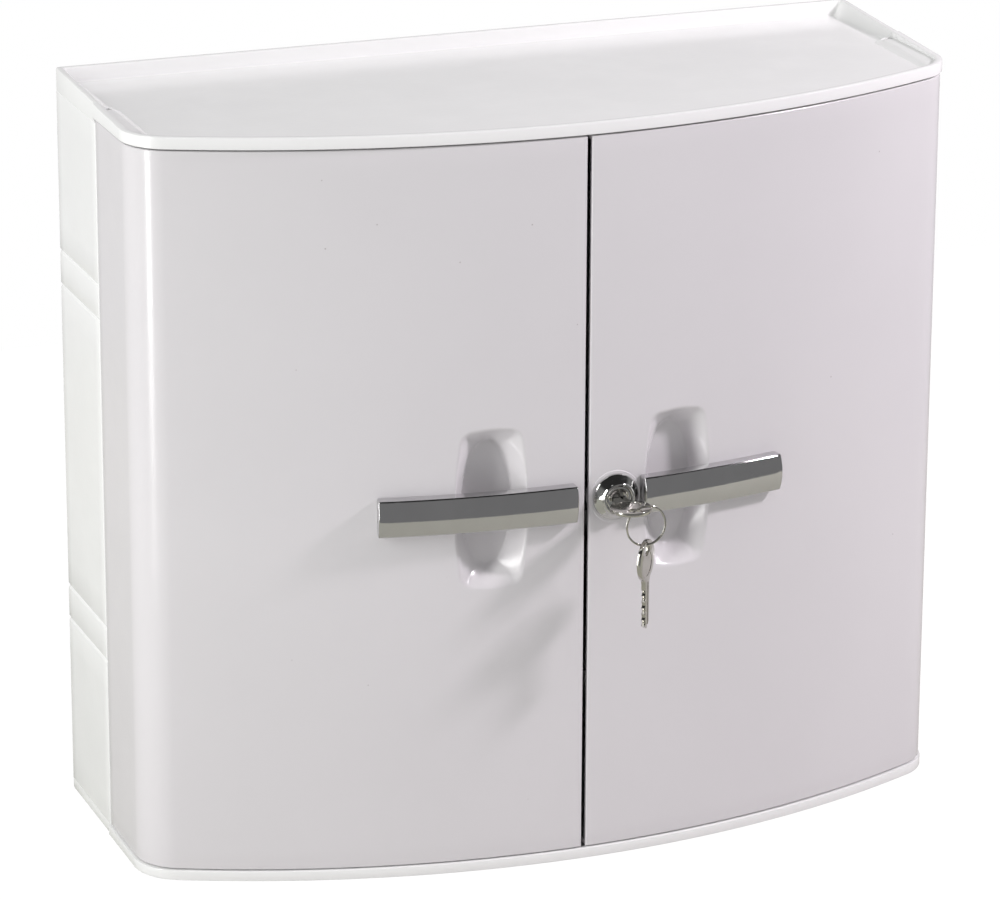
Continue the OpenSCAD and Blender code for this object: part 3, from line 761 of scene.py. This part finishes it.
def top_tray_section(kind, v):
    """Section of the top tray, from its underside out, up round the rim and in to its floor."""
    ahead = is_ahead(kind, v)
    proud = BEAD_PROUD if ahead else 0.0
    base = TOP_BEAD_Z if ahead else RIM_Z + PANEL_GAP
    top = TOP_Z + (TOP_BEAD_TOP - TOP_Z) * front_share(kind, v)
    soft = BEAD_SOFT if ahead else RIM_SOFT
    edge, cant = TOP_EDGE, 0.3 * TOP_EDGE
    rim = [(RIM_T, TOP_BEAD_Z + NEAR), (RIM_T, base), (soft - proud, base), (-proud, base + soft),
           (-proud, top - edge), (cant - proud, top - cant), (edge - proud, top),
           (RIM_T - edge, top), (RIM_T - cant, top - cant), (RIM_T, top - edge)]
    fall = top - edge - FLOOR_Z
    upright, sloped = [[(RIM_T + off * MM, FLOOR_Z + part * fall) for off, part in wall]
                       for wall in (UPRIGHT_WALL, SLOPED_WALL)]
    flat, hole = [[(RIM_T + off * MM, PLATFORM_Z + up * MM) for off, up in points]
                  for points in (PLATFORM, NOTCH_HOLE)]
    if kind == "side" and NOTCH_FRONT < v < NOTCH_REAR:
        flat[:len(hole)] = hole
    flat.append((RIM_T + PLATFORM_IN, FLOOR_Z))
    wall = between(upright, sloped, wall_slope(kind, v))
    return rim + between(wall, flat, platform_share(kind, v))


def base_tray_section(kind, v):
    """Section of the bottom tray, from its underside out, up round the rim and in to its floor."""
    proud = BEAD_PROUD if is_ahead(kind, v) else 0.0
    back = kind == "back"
    top = BASE_FLOOR_Z + BASE_TRIM if back else BASE_BEAD_TOP - BASE_TRIM
    soft = BASE_BACK_SOFT if back else BASE_SOFT
    foot, foot_cant, cant = BASE_FOOT, 0.25 * BASE_FOOT, 0.3 * soft
    return [(RIM_T + BASE_INNER, BASE_Z), (foot - proud, BASE_Z),
            (foot_cant - proud, BASE_Z + foot_cant), (-proud, BASE_Z + foot),
            (-proud, top - soft), (cant - proud, top - cant), (soft - proud, top),
            (RIM_T - soft, top), (RIM_T, top - soft), (RIM_T, BASE_FLOOR_Z),
            (RIM_T + BASE_INNER, BASE_FLOOR_Z)]


def tray(section):
    """A section taken round the outline, with the floor and the underside closed flat."""
    mesh = Mesh()
    rings = [[(*tray_point(kind, v, side, off), z) for off, z in section(kind, v)]
             for kind, v, side in tray_stations()]
    count = len(rings[0])
    faces = quads(len(rings), count, closed_rows=True)
    faces.append([r * count for r in range(len(rings))])
    faces.append([r * count + count - 1 for r in reversed(range(len(rings)))])
    mesh.add([point for ring in rings for point in ring], faces)
    return mesh


def add_screw_boss(mesh, x, z):
    """Block in front of the back panel, for one of the screws that hold it."""
    half = BOSS_W / 2
    add_block(mesh, (x - half, -BACK_T - BOSS_D, z - half), (x + half, -BACK_T, z + half))


def add_pin_boss(mesh, side, low, high):
    place = Matrix.Translation((side * (HALF_W - PIN_IN), -DOOR_REAR - PIN_FWD, 0))
    profile = [(0, low), (PIN_BOSS_R, low), (PIN_BOSS_R, high), (0, high)]
    add_turned(mesh, profile, place, count=48)


top_mesh = tray(top_tray_section)
for side in (-1, 1):
    add_screw_boss(top_mesh, side * SCREW_X, TOP_BEAD_Z - BOSS_W / 2 + TOUCH)
    add_pin_boss(top_mesh, side, DOOR_TOP_Z + NEAR, TOP_BEAD_Z + SUNK)
top_tray = outward(top_mesh.object("top_tray_moulding"))
finish_piece(top_tray, CASE_WHITE, "case_plastic", "case", "top_tray")

base_mesh = tray(base_tray_section)
for side in (-1, 1):
    add_screw_boss(base_mesh, side * SCREW_X, BASE_FLOOR_Z + BOSS_W / 2 - TOUCH)
    add_pin_boss(base_mesh, side, BASE_FLOOR_Z - SUNK, DOOR_BASE_Z - NEAR)
bottom_tray = outward(base_mesh.object("bottom_tray_moulding"))
finish_piece(bottom_tray, CASE_WHITE, "case_plastic", "case", "bottom_tray")


# ======== Side panels ========

GROOVE_D = 0.8 * MM
GROOVE_HALF = 1.55 * MM
# Two pairs of grooves, one above and one below the middle
GROOVE_RISE = 90 * MM
GROOVE_PAIR = 9 * MM
GROOVES = sorted(rise * GROOVE_RISE + pair * GROOVE_PAIR for rise in (-1, 1) for pair in (-1, 1))
PANEL_EDGE_R = 0.7 * MM
PANEL_PITCH, PANEL_RISE_PITCH = 8 * MM, 15 * MM
GROOVE_NEAR, GROOVE_PITCH = 1.4 * MM, 0.2 * MM
LEDGE_FRONT_IN = 4 * MM
LEDGE_REAR_IN = 1 * MM


def groove_fall(s, z):
    """Depth of the grooves at height z; they run the whole depth of the panel."""
    gap = min(abs(z - groove) for groove in GROOVES)
    return GROOVE_D * (1 - smoothstep(gap / GROOVE_HALF))


def side_panel():
    """The right side panel; the left one is its mirror image."""
    mesh = Mesh()
    edge = PANEL_EDGE_R
    s_span = rounded_span(steps(edge, SIDE_D - edge, PANEL_PITCH), 0, SIDE_D, edge)
    rise = [PANEL_BASE_Z + edge]
    for groove in GROOVES:
        rise += steps(rise[-1], groove - GROOVE_NEAR, PANEL_RISE_PITCH)[1:]
        rise += steps(groove - GROOVE_NEAR, groove + GROOVE_NEAR, GROOVE_PITCH)[1:]
    rise += steps(rise[-1], RIM_Z - edge, PANEL_RISE_PITCH)[1:]
    z_span = rounded_span(rise, PANEL_BASE_Z, RIM_Z, edge)
    add_shell(mesh, side_line, s_span, z_span, SIDE_T, groove_fall)
    inner = HALF_W - SIDE_T
    for shelf_z in (shelf_hi.z, low_shelf_hi.z):
        add_block(mesh, (inner - LEDGE_W, -SIDE_D + LEDGE_FRONT_IN, shelf_z - 2 * SHELF_T),
                  (inner + SUNK, -BACK_T - LEDGE_REAR_IN, shelf_z - SHELF_T - HAIR))
    for z in (-SCREW_Z, SCREW_Z):
        add_screw_boss(mesh, inner - BOSS_W / 2, z)
    return mesh


right_panel = outward(side_panel().object("right_side_moulding"))
finish_piece(right_panel, CASE_WHITE, "case_plastic", "case", "right_side_panel")
left_panel = outward(side_panel().mirrored().object("left_side_moulding"))
finish_piece(left_panel, CASE_WHITE, "case_plastic", "case", "left_side_panel")


# ======== Lock ========

BEZEL_H = 5.6 * MM
SEAT_Y = housing_lo.y + BEZEL_H
BARREL_L = housing_hi.y - SEAT_Y
BARREL_R = 8 * MM
BARREL_EDGE = 0.4 * MM
HEAD_SEAT = 2.5 * MM
# Bezel: mm in from its rim, or out from the bore, and mm out from the door
BEZEL_FACE = ((0.3, 0), (0, 0.3), (0, 1.0), (0.15, 1.35), (0.45, 1.7), (1.5, 2.75), (3.2, 4.5),
              (3.5, 4.85), (3.7, 5.25), (4.0, 5.5), (4.4, 5.6))
BORE_LIP = ((0.5, 5.6), (0.15, 5.45), (0, 5.1))

PLUG_R = 5.8 * MM
PLUG_HEAD_R = (plug_hi.x - plug_lo.x) / 2
PLUG_HEAD_T = 2 * MM
PLUG_EDGE = 0.3 * MM
RUN_CLEAR = 0.06 * MM
TANG_R, TANG_L = 3 * MM, 3 * MM
# Plug: radius, or distance in from the head's rim, and height over the face, in mm
PLUG_DISH = ((0, -0.55), (4.1, -0.55), (4.5, -0.45), (4.9, -0.1), (5.2, 0))
PLUG_RIM = ((0.5, 0), (0.15, -0.15), (0, -0.5))
KEYWAY_HALF_W, KEYWAY_HALF_H = 3.5 * MM, 1.2 * MM
KEYWAY_AHEAD, KEYWAY_PAST = 1 * MM, 0.6 * MM
KEYWAY_EDGE = 0.15 * MM
LOCK_SHARP = 35


def toward_viewer(y):
    """Places a turned part on the lock's axis, its height axis along -Y from y."""
    return Matrix.Translation((LOCK_X, y, HANDLE_Z)) @ Matrix.Rotation(pi / 2, 4, "X")


def lock_housing():
    """Bezel and barrel in one, bored for the plug."""
    mesh = Mesh()
    bore = PLUG_HEAD_R + RUN_CLEAR
    plug_bore = PLUG_R + RUN_CLEAR
    seat = BEZEL_H - HEAD_SEAT
    profile = [(plug_bore, -BARREL_L), (BARREL_R - BARREL_EDGE, -BARREL_L),
               (BARREL_R, -BARREL_L + BARREL_EDGE), (BARREL_R, 0)]
    profile += [(BEZEL_R - off * MM, out * MM) for off, out in BEZEL_FACE]
    profile += [(bore + off * MM, out * MM) for off, out in BORE_LIP]
    profile += [(bore, seat), (plug_bore, seat)]
    add_turned(mesh, profile, toward_viewer(SEAT_Y))
    return outward(mesh.object("lock_bezel", LOCK_SHARP))


def keyway_cutter():
    mesh = Mesh()
    lo = (LOCK_X - KEYWAY_HALF_W, plug_lo.y - KEYWAY_AHEAD, HANDLE_Z - KEYWAY_HALF_H)
    hi = (LOCK_X + KEYWAY_HALF_W, key_hi.y + KEYWAY_PAST, HANDLE_Z + KEYWAY_HALF_H)
    add_block(mesh, lo, hi, KEYWAY_EDGE)
    return mesh.object("cutter")


def lock_plug():
    """Plug with a raised rim, a dished face and a keyway."""
    mesh = Mesh()
    length = plug_hi.y - plug_lo.y
    body = length - TANG_L
    profile = [(radius * MM, height * MM) for radius, height in PLUG_DISH]
    profile += [(PLUG_HEAD_R - off * MM, height * MM) for off, height in PLUG_RIM]
    profile += [(PLUG_HEAD_R, -PLUG_HEAD_T), (PLUG_R, -PLUG_HEAD_T), (PLUG_R, -body + PLUG_EDGE),
                (PLUG_R - PLUG_EDGE, -body), (TANG_R, -body), (TANG_R, -length), (0, -length)]
    add_turned(mesh, profile, toward_viewer(plug_lo.y))
    obj = outward(mesh.object("lock_core", LOCK_SHARP))
    cut(obj, keyway_cutter())
    smooth(obj.data, LOCK_SHARP)
    return obj


finish_piece(lock_housing(), LOCK_CHROME, "lock_chrome", "right_door", "lock_housing")
finish_piece(lock_plug(), LOCK_CHROME, "lock_chrome", "lock_plug", "lock_plug")


# ======== Keys ========

KEY_BOW_R = (key_hi.x - key_lo.x) / 2
KEY_BOW_Y = key_lo.y + KEY_BOW_R
KEY_T = key_hi.z - key_lo.z
KEY_EDGE = 0.28 * MM
KEY_SHARP = 30
KEY_WELD = 0.005 * MM
KEY_HOLE_R = 3.2 * MM
KEY_HOLE_RIM = 1.8 * MM
KEY_HOLE_OFF = KEY_BOW_R - KEY_HOLE_R - KEY_HOLE_RIM
KEY_BLADE_W = 6.6 * MM
KEY_BLADE_L = 21 * MM
KEY_SHANK = 4.4 * MM
BLADE_Y = KEY_BOW_R + KEY_SHANK
BLADE_END = BLADE_Y + KEY_BLADE_L
BOW_STEP = radians(4)

NECK_JOIN = 1.32 * MM
NECK_OUT = 0.77 * MM
NECK_Y, NECK_END_Y = KEY_BOW_R - 0.2 * MM, KEY_BOW_R + 1.5 * MM
# Cuts along the blade: where each starts, ends and crests, as shares of their pitch
KEY_CUTS = 6
CUT_PITCH = 3.2 * MM
CUT_FROM, CUT_TO, CUT_CREST = 0.42, 0.6, 0.95
CUT_DEPTH, CUT_STEP, CREST_IN = 1.1 * MM, 0.4 * MM, 0.2 * MM
TIP_IN, TIP_BACK, TIP_SLOPE = 1.1 * MM, 1.6 * MM, 3 * MM

FIELD_R, FIELD_TOP_R = 6.3 * MM, 6.6 * MM
FIELD_Y = 1.9 * MM
FIELD_OUT, FIELD_HALF_T = 0.3 * MM, 0.5 * MM
MILL_X, MILL_END_X = 0.5 * MM, 1.7 * MM
MILL_Y = KEY_BOW_R + 1.2 * MM
MILL_DEPTH, MILL_OUT = 0.45 * MM, 0.5 * MM
MILL_PAST = 1 * MM
MILL_EDGE = 0.1 * MM


def key_outline():
    """Outline of a key about the centre of its bow, with its blade along +Y."""
    half = KEY_BLADE_W / 2
    join = asin((half + NECK_JOIN) / KEY_BOW_R)
    arc = steps(pi / 2 - join, -3 * pi / 2 + join, BOW_STEP)
    bow = [(KEY_BOW_R * cos(a), KEY_BOW_R * sin(a)) for a in arc]
    left = [(-half - NECK_OUT, NECK_Y), (-half, NECK_END_Y), (-half, BLADE_Y)]
    for i in range(KEY_CUTS):
        deep = half - CUT_DEPTH - CUT_STEP * (i % 2)
        left += [(-deep, BLADE_Y + (i + CUT_FROM) * CUT_PITCH),
                 (-deep, BLADE_Y + (i + CUT_TO) * CUT_PITCH),
                 (-half + CREST_IN, BLADE_Y + (i + CUT_CREST) * CUT_PITCH)]
    tip = [(-half + TIP_IN, BLADE_END - TIP_BACK), (0, BLADE_END), (half, BLADE_END - TIP_SLOPE)]
    right = [(half, NECK_END_Y), (half + NECK_OUT, NECK_Y)]
    return bow + left + tip + right


def circle(radius, y, count=64):
    turn = [2 * pi * i / count for i in range(count)]
    return [(radius * cos(a), y + radius * sin(a)) for a in turn]


def flat_piece(name, loops, thickness, bevel):
    """A flat piece cut from loops of points in XY, with bevelled edges."""
    curve = bpy.data.curves.new(name, "CURVE")
    curve.dimensions = "2D"
    curve.fill_mode = "BOTH"
    curve.extrude = thickness / 2 - bevel
    curve.bevel_depth = bevel
    curve.bevel_resolution = 2
    curve.offset = -bevel
    for loop in loops:
        spline = curve.splines.new("POLY")
        spline.points.add(len(loop) - 1)
        for point, (x, y) in zip(spline.points, loop):
            point.co = (x, y, 0, 1)
        spline.use_cyclic_u = True
    carrier = bpy.data.objects.new(name, curve)
    bpy.context.scene.collection.objects.link(carrier)
    graph = bpy.context.evaluated_depsgraph_get()
    mesh = bpy.data.meshes.new_from_object(carrier.evaluated_get(graph))
    bpy.data.objects.remove(carrier)
    bm = bmesh.new()
    bm.from_mesh(mesh)
    bmesh.ops.remove_doubles(bm, verts=bm.verts, dist=KEY_WELD)
    bmesh.ops.recalc_face_normals(bm, faces=bm.faces)
    bm.to_mesh(mesh)
    bm.free()
    mesh.name = name
    obj = bpy.data.objects.new(name, mesh)
    bpy.context.scene.collection.objects.link(obj)
    return obj


def field_cutter(side):
    """Cutter for the round field on one face of a key's bow."""
    mesh = Mesh()
    centre = Matrix.Translation((0, FIELD_Y, side * (KEY_T / 2 + FIELD_OUT)))
    half = side * FIELD_HALF_T
    profile = [(0, -half), (FIELD_R, -half), (FIELD_TOP_R, half), (0, half)]
    add_turned(mesh, profile, centre, count=72)
    return mesh.object("cutter")


def mill_cutter(side):
    """Cutter for the groove along one face of a key's blade."""
    mesh = Mesh()
    face = side * KEY_T / 2
    low, high = sorted((face - side * MILL_DEPTH, face + side * MILL_OUT))
    end_y = BLADE_END + MILL_PAST
    add_block(mesh, (MILL_X, MILL_Y, low), (MILL_END_X, end_y, high), MILL_EDGE)
    return mesh.object("cutter")


def key_piece(name):
    """A key with a plain coin-shaped field on its bow and a groove milled along its blade."""
    loops = [key_outline(), circle(KEY_HOLE_R, -KEY_HOLE_OFF)]
    obj = flat_piece(name, loops, KEY_T, KEY_EDGE)
    cut(obj, *[cutter(side) for side in (-1, 1) for cutter in (field_cutter, mill_cutter)])
    smooth(obj.data, KEY_SHARP)
    return obj


key = key_piece("key_in_lock")
key.data.transform(Matrix.Translation((LOCK_X, KEY_BOW_Y, HANDLE_Z)))
finish_piece(key, NICKEL, "key_nickel", "key", "key")


# ======== Split ring and spare key ========

RING_X = (ring_lo.x + ring_hi.x) / 2
RING_Y = (ring_lo.y + ring_hi.y) / 2
RING_Z = (ring_lo.z + ring_hi.z) / 2
WIRE_D = ring_hi.y - ring_lo.y
RING_R = (ring_hi.x - ring_lo.x - WIRE_D) / 2
WIRE_HALF_RADIAL, WIRE_HALF_AXIAL = 0.42 * WIRE_D, WIRE_D / 4
WIRE_SIDES = 12
TURNS_APART = 0.97
RING_STEP = radians(3)
RING_GAP = radians(9)
RING_CROSSING = radians(28)
RING_START = radians(200)
# The wire's ends: their share of its size, and the angle over which it tapers
WIRE_TIP, WIRE_TAPER = 0.35, radians(12)
SPARE_TURN = radians(48)

spare_key = key_piece("spare_key_hanging")
turned = Matrix.Rotation(SPARE_TURN, 4, "Z") @ Matrix.Rotation(-pi / 2, 4, "X")
hang = Matrix.Translation((RING_X, RING_Y, spare_hi.z - KEY_BOW_R))
spare_key.data.transform(hang @ turned)
finish_piece(spare_key, NICKEL, "key_nickel", "spare_key", "spare_key")


def split_ring():
    """Flat wire wound twice, crossing over where its two ends lie."""
    mesh = Mesh()
    end = 4 * pi - RING_GAP
    rings = []
    for angle in steps(RING_GAP, end, RING_STEP):
        crossed = smoothstep((angle - 2 * pi + RING_CROSSING) / (2 * RING_CROSSING))
        wire_y = RING_Y + (2 * crossed - 1) * WIRE_HALF_AXIAL
        taper = min(1, WIRE_TIP + min(angle - RING_GAP, end - angle) / WIRE_TAPER)
        radial = Vector((cos(angle + RING_START), 0, sin(angle + RING_START)))
        ring = []
        for i in range(WIRE_SIDES):
            a = 2 * pi * i / WIRE_SIDES
            out = RING_R + WIRE_HALF_RADIAL * taper * cos(a)
            y = wire_y + WIRE_HALF_AXIAL * TURNS_APART * taper * sin(a)
            ring.append((RING_X + radial.x * out, y, RING_Z + radial.z * out))
        rings.append(ring)
    add_sweep(mesh, rings)
    return outward(mesh.object("split_ring", sharp=50))


finish_piece(split_ring(), NICKEL, "key_nickel", "key_ring", "key_ring")


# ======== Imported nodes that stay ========

PLASTIC_NODES = ("back_panel", "middle_shelf", "lower_shelf")
METAL_NODES = ("case_screws", "strike_screws", "left_handle_screws", "right_handle_screws",
               "cam_screw", "upper_left_pin", "lower_left_pin", "upper_right_pin",
               "lower_right_pin", "lock_strike", "left_door_hook", "left_catch_plate",
               "right_catch_plate", "lock_nut", "lock_cam")


def dress(node, material):
    """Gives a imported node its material."""
    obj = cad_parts[node]
    obj.data.materials.clear()
    obj.data.materials.append(material)


for node in PLASTIC_NODES:
    dress(node, CASE_WHITE)
for node in METAL_NODES:
    dress(node, ZINC)
dress("door_magnets", BLACK)


# ======== Stage, light and camera ========

FLOOR_TONE = (0.64, 0.635, 0.62)
MIRRORED_FLOOR = (0.46, 0.465, 0.40)
FLOOR_ROUGH = 0.9
FLOOR_FRONT, FLOOR_REACH = -0.60, 0.75
# The floor as the camera sees it: strength of the paper's glow, and its share over the lit floor
PAPER_GLOW, PAPER_SHARE = 1.17, 0.8

# Strengths of the world: to the camera, as soft light, and in what shiny surfaces mirror
PAPER = 1.0
AMBIENT = 0.385
ROOM_TONE = 0.21
BEHIND_TONE = 0.35
CEILING_TONE = 0.03
# Where the mirrored room turns into what is behind the cabinet, and into the ceiling
BEHIND_Y = (0.1, 0.3)
CEILING_Z = (0.42, 0.58)

LIGHTS = {
    "left_strip": {"place": (-1.80, -0.67, 0.40), "aim": (-0.1, -0.1, 0), "size": (0.38, 2.0),
                   "power": 25.8, "tint": (1, 1, 0.985)},
    "right_key": {"place": (0.92, -0.64, 0.78), "aim": (0, -0.15, 0), "size": (0.14, 0.14),
                  "power": 10.3, "tint": (1, 0.93, 0.99)},
    "top_softbox": {"place": (-0.45, 0.15, 1.4), "aim": (0, -0.1, 0), "size": (1.0, 0.8),
                    "power": 2.4, "tint": (1, 1, 1)},
}

CAMERA_PLACE = (-0.8746, -2.3480, 0.8086)
CAMERA_PAN, CAMERA_TILT, CAMERA_ROLL = -0.365, -0.324, -0.004
CAMERA_LENS, CAMERA_SENSOR = 180, 36


def blend(nodes, links, share, first, second):
    """Mixes two shaders; a share of 1 gives the second."""
    node = nodes.new("ShaderNodeMixShader")
    links.new(share, node.inputs["Fac"])
    links.new(first, node.inputs[1])
    links.new(second, node.inputs[2])
    return node.outputs["Shader"]


def stage_material():
    """Pale floor: white paper with a faint shadow to the camera, beige in shiny surfaces."""
    mat, nodes, links, shader = new_material("stage_white")
    shader.inputs["Roughness"].default_value = FLOOR_ROUGH
    path = nodes.new("ShaderNodeLightPath")
    mirrored = path.outputs["Is Glossy Ray"]
    tone = mix_colours(nodes, links, mirrored, FLOOR_TONE, MIRRORED_FLOOR)
    links.new(tone, shader.inputs["Base Color"])
    paper = nodes.new("ShaderNodeEmission")
    paper.inputs["Strength"].default_value = PAPER_GLOW
    share = nodes.new("ShaderNodeMath")
    share.operation = "MULTIPLY"
    share.inputs[1].default_value = PAPER_SHARE
    links.new(path.outputs["Is Camera Ray"], share.inputs[0])
    lit, glow = shader.outputs["BSDF"], paper.outputs["Emission"]
    seen = blend(nodes, links, share.outputs["Value"], lit, glow)
    links.new(seen, nodes["Material Output"].inputs["Surface"])
    return mat


def add_floor():
    mesh = Mesh()
    near, far = FLOOR_FRONT, FLOOR_REACH
    corners = [(-far, near, BASE_Z), (far, near, BASE_Z), (far, far, BASE_Z), (-far, far, BASE_Z)]
    mesh.add(corners, [[0, 1, 2, 3]])
    floor = mesh.object("floor")
    floor.data.materials.append(stage_material())


def white_background(nodes, strength):
    node = nodes.new("ShaderNodeBackground")
    node.inputs["Color"].default_value = (1, 1, 1, 1)
    node.inputs["Strength"].default_value = strength
    return node.outputs["Background"]


def set_world():
    """White to the camera; shiny surfaces mirror a dim room, dark above and lighter behind."""
    world = bpy.data.worlds.new("studio")
    bpy.context.scene.world = world
    world.use_nodes = True
    nodes, links = world.node_tree.nodes, world.node_tree.links
    nodes.clear()
    out = nodes.new("ShaderNodeOutputWorld")
    path = nodes.new("ShaderNodeLightPath")
    coords = nodes.new("ShaderNodeTexCoord")
    split = nodes.new("ShaderNodeSeparateXYZ")
    links.new(coords.outputs["Generated"], split.inputs["Vector"])
    behind = map_range(nodes, links, split.outputs["Y"], BEHIND_Y)
    above = map_range(nodes, links, split.outputs["Z"], CEILING_Z)
    room, rear, ceiling, soft, paper = [
        white_background(nodes, tone)
        for tone in (ROOM_TONE, BEHIND_TONE, CEILING_TONE, AMBIENT, PAPER)]
    walls = blend(nodes, links, behind, room, rear)
    mirrored = blend(nodes, links, above, walls, ceiling)
    unseen = blend(nodes, links, path.outputs["Is Glossy Ray"], soft, mirrored)
    seen = blend(nodes, links, path.outputs["Is Camera Ray"], unseen, paper)
    links.new(seen, out.inputs["Surface"])


def add_light(name, place, aim, size, power, tint):
    lamp = bpy.data.lights.new(name, "AREA")
    lamp.color = tint
    lamp.shape = "RECTANGLE"
    lamp.size, lamp.size_y = size
    lamp.energy = power
    obj = bpy.data.objects.new(name, lamp)
    bpy.context.scene.collection.objects.link(obj)
    obj.location = place
    obj.rotation_euler = (Vector(aim) - Vector(place)).to_track_quat("-Z", "Y").to_euler()


def add_camera():
    """The photograph's viewpoint: above and to the left, through a long lens."""
    cam = bpy.data.cameras.new("camera")
    cam.sensor_width = CAMERA_SENSOR
    cam.lens = CAMERA_LENS
    obj = bpy.data.objects.new("camera", cam)
    bpy.context.scene.collection.objects.link(obj)
    obj.location = CAMERA_PLACE
    level = Matrix.Rotation(pi / 2, 3, "X")
    pan, tilt, roll = [Matrix.Rotation(angle, 3, axis) for angle, axis in
                       ((CAMERA_PAN, "Z"), (CAMERA_TILT, "X"), (CAMERA_ROLL, "Y"))]
    obj.rotation_euler = (pan @ tilt @ roll @ level).to_euler()
    bpy.context.scene.camera = obj


add_floor()
set_world()
for name, light in LIGHTS.items():
    add_light(name, **light)
add_camera()
bpy.context.scene.view_settings.view_transform = "Standard"
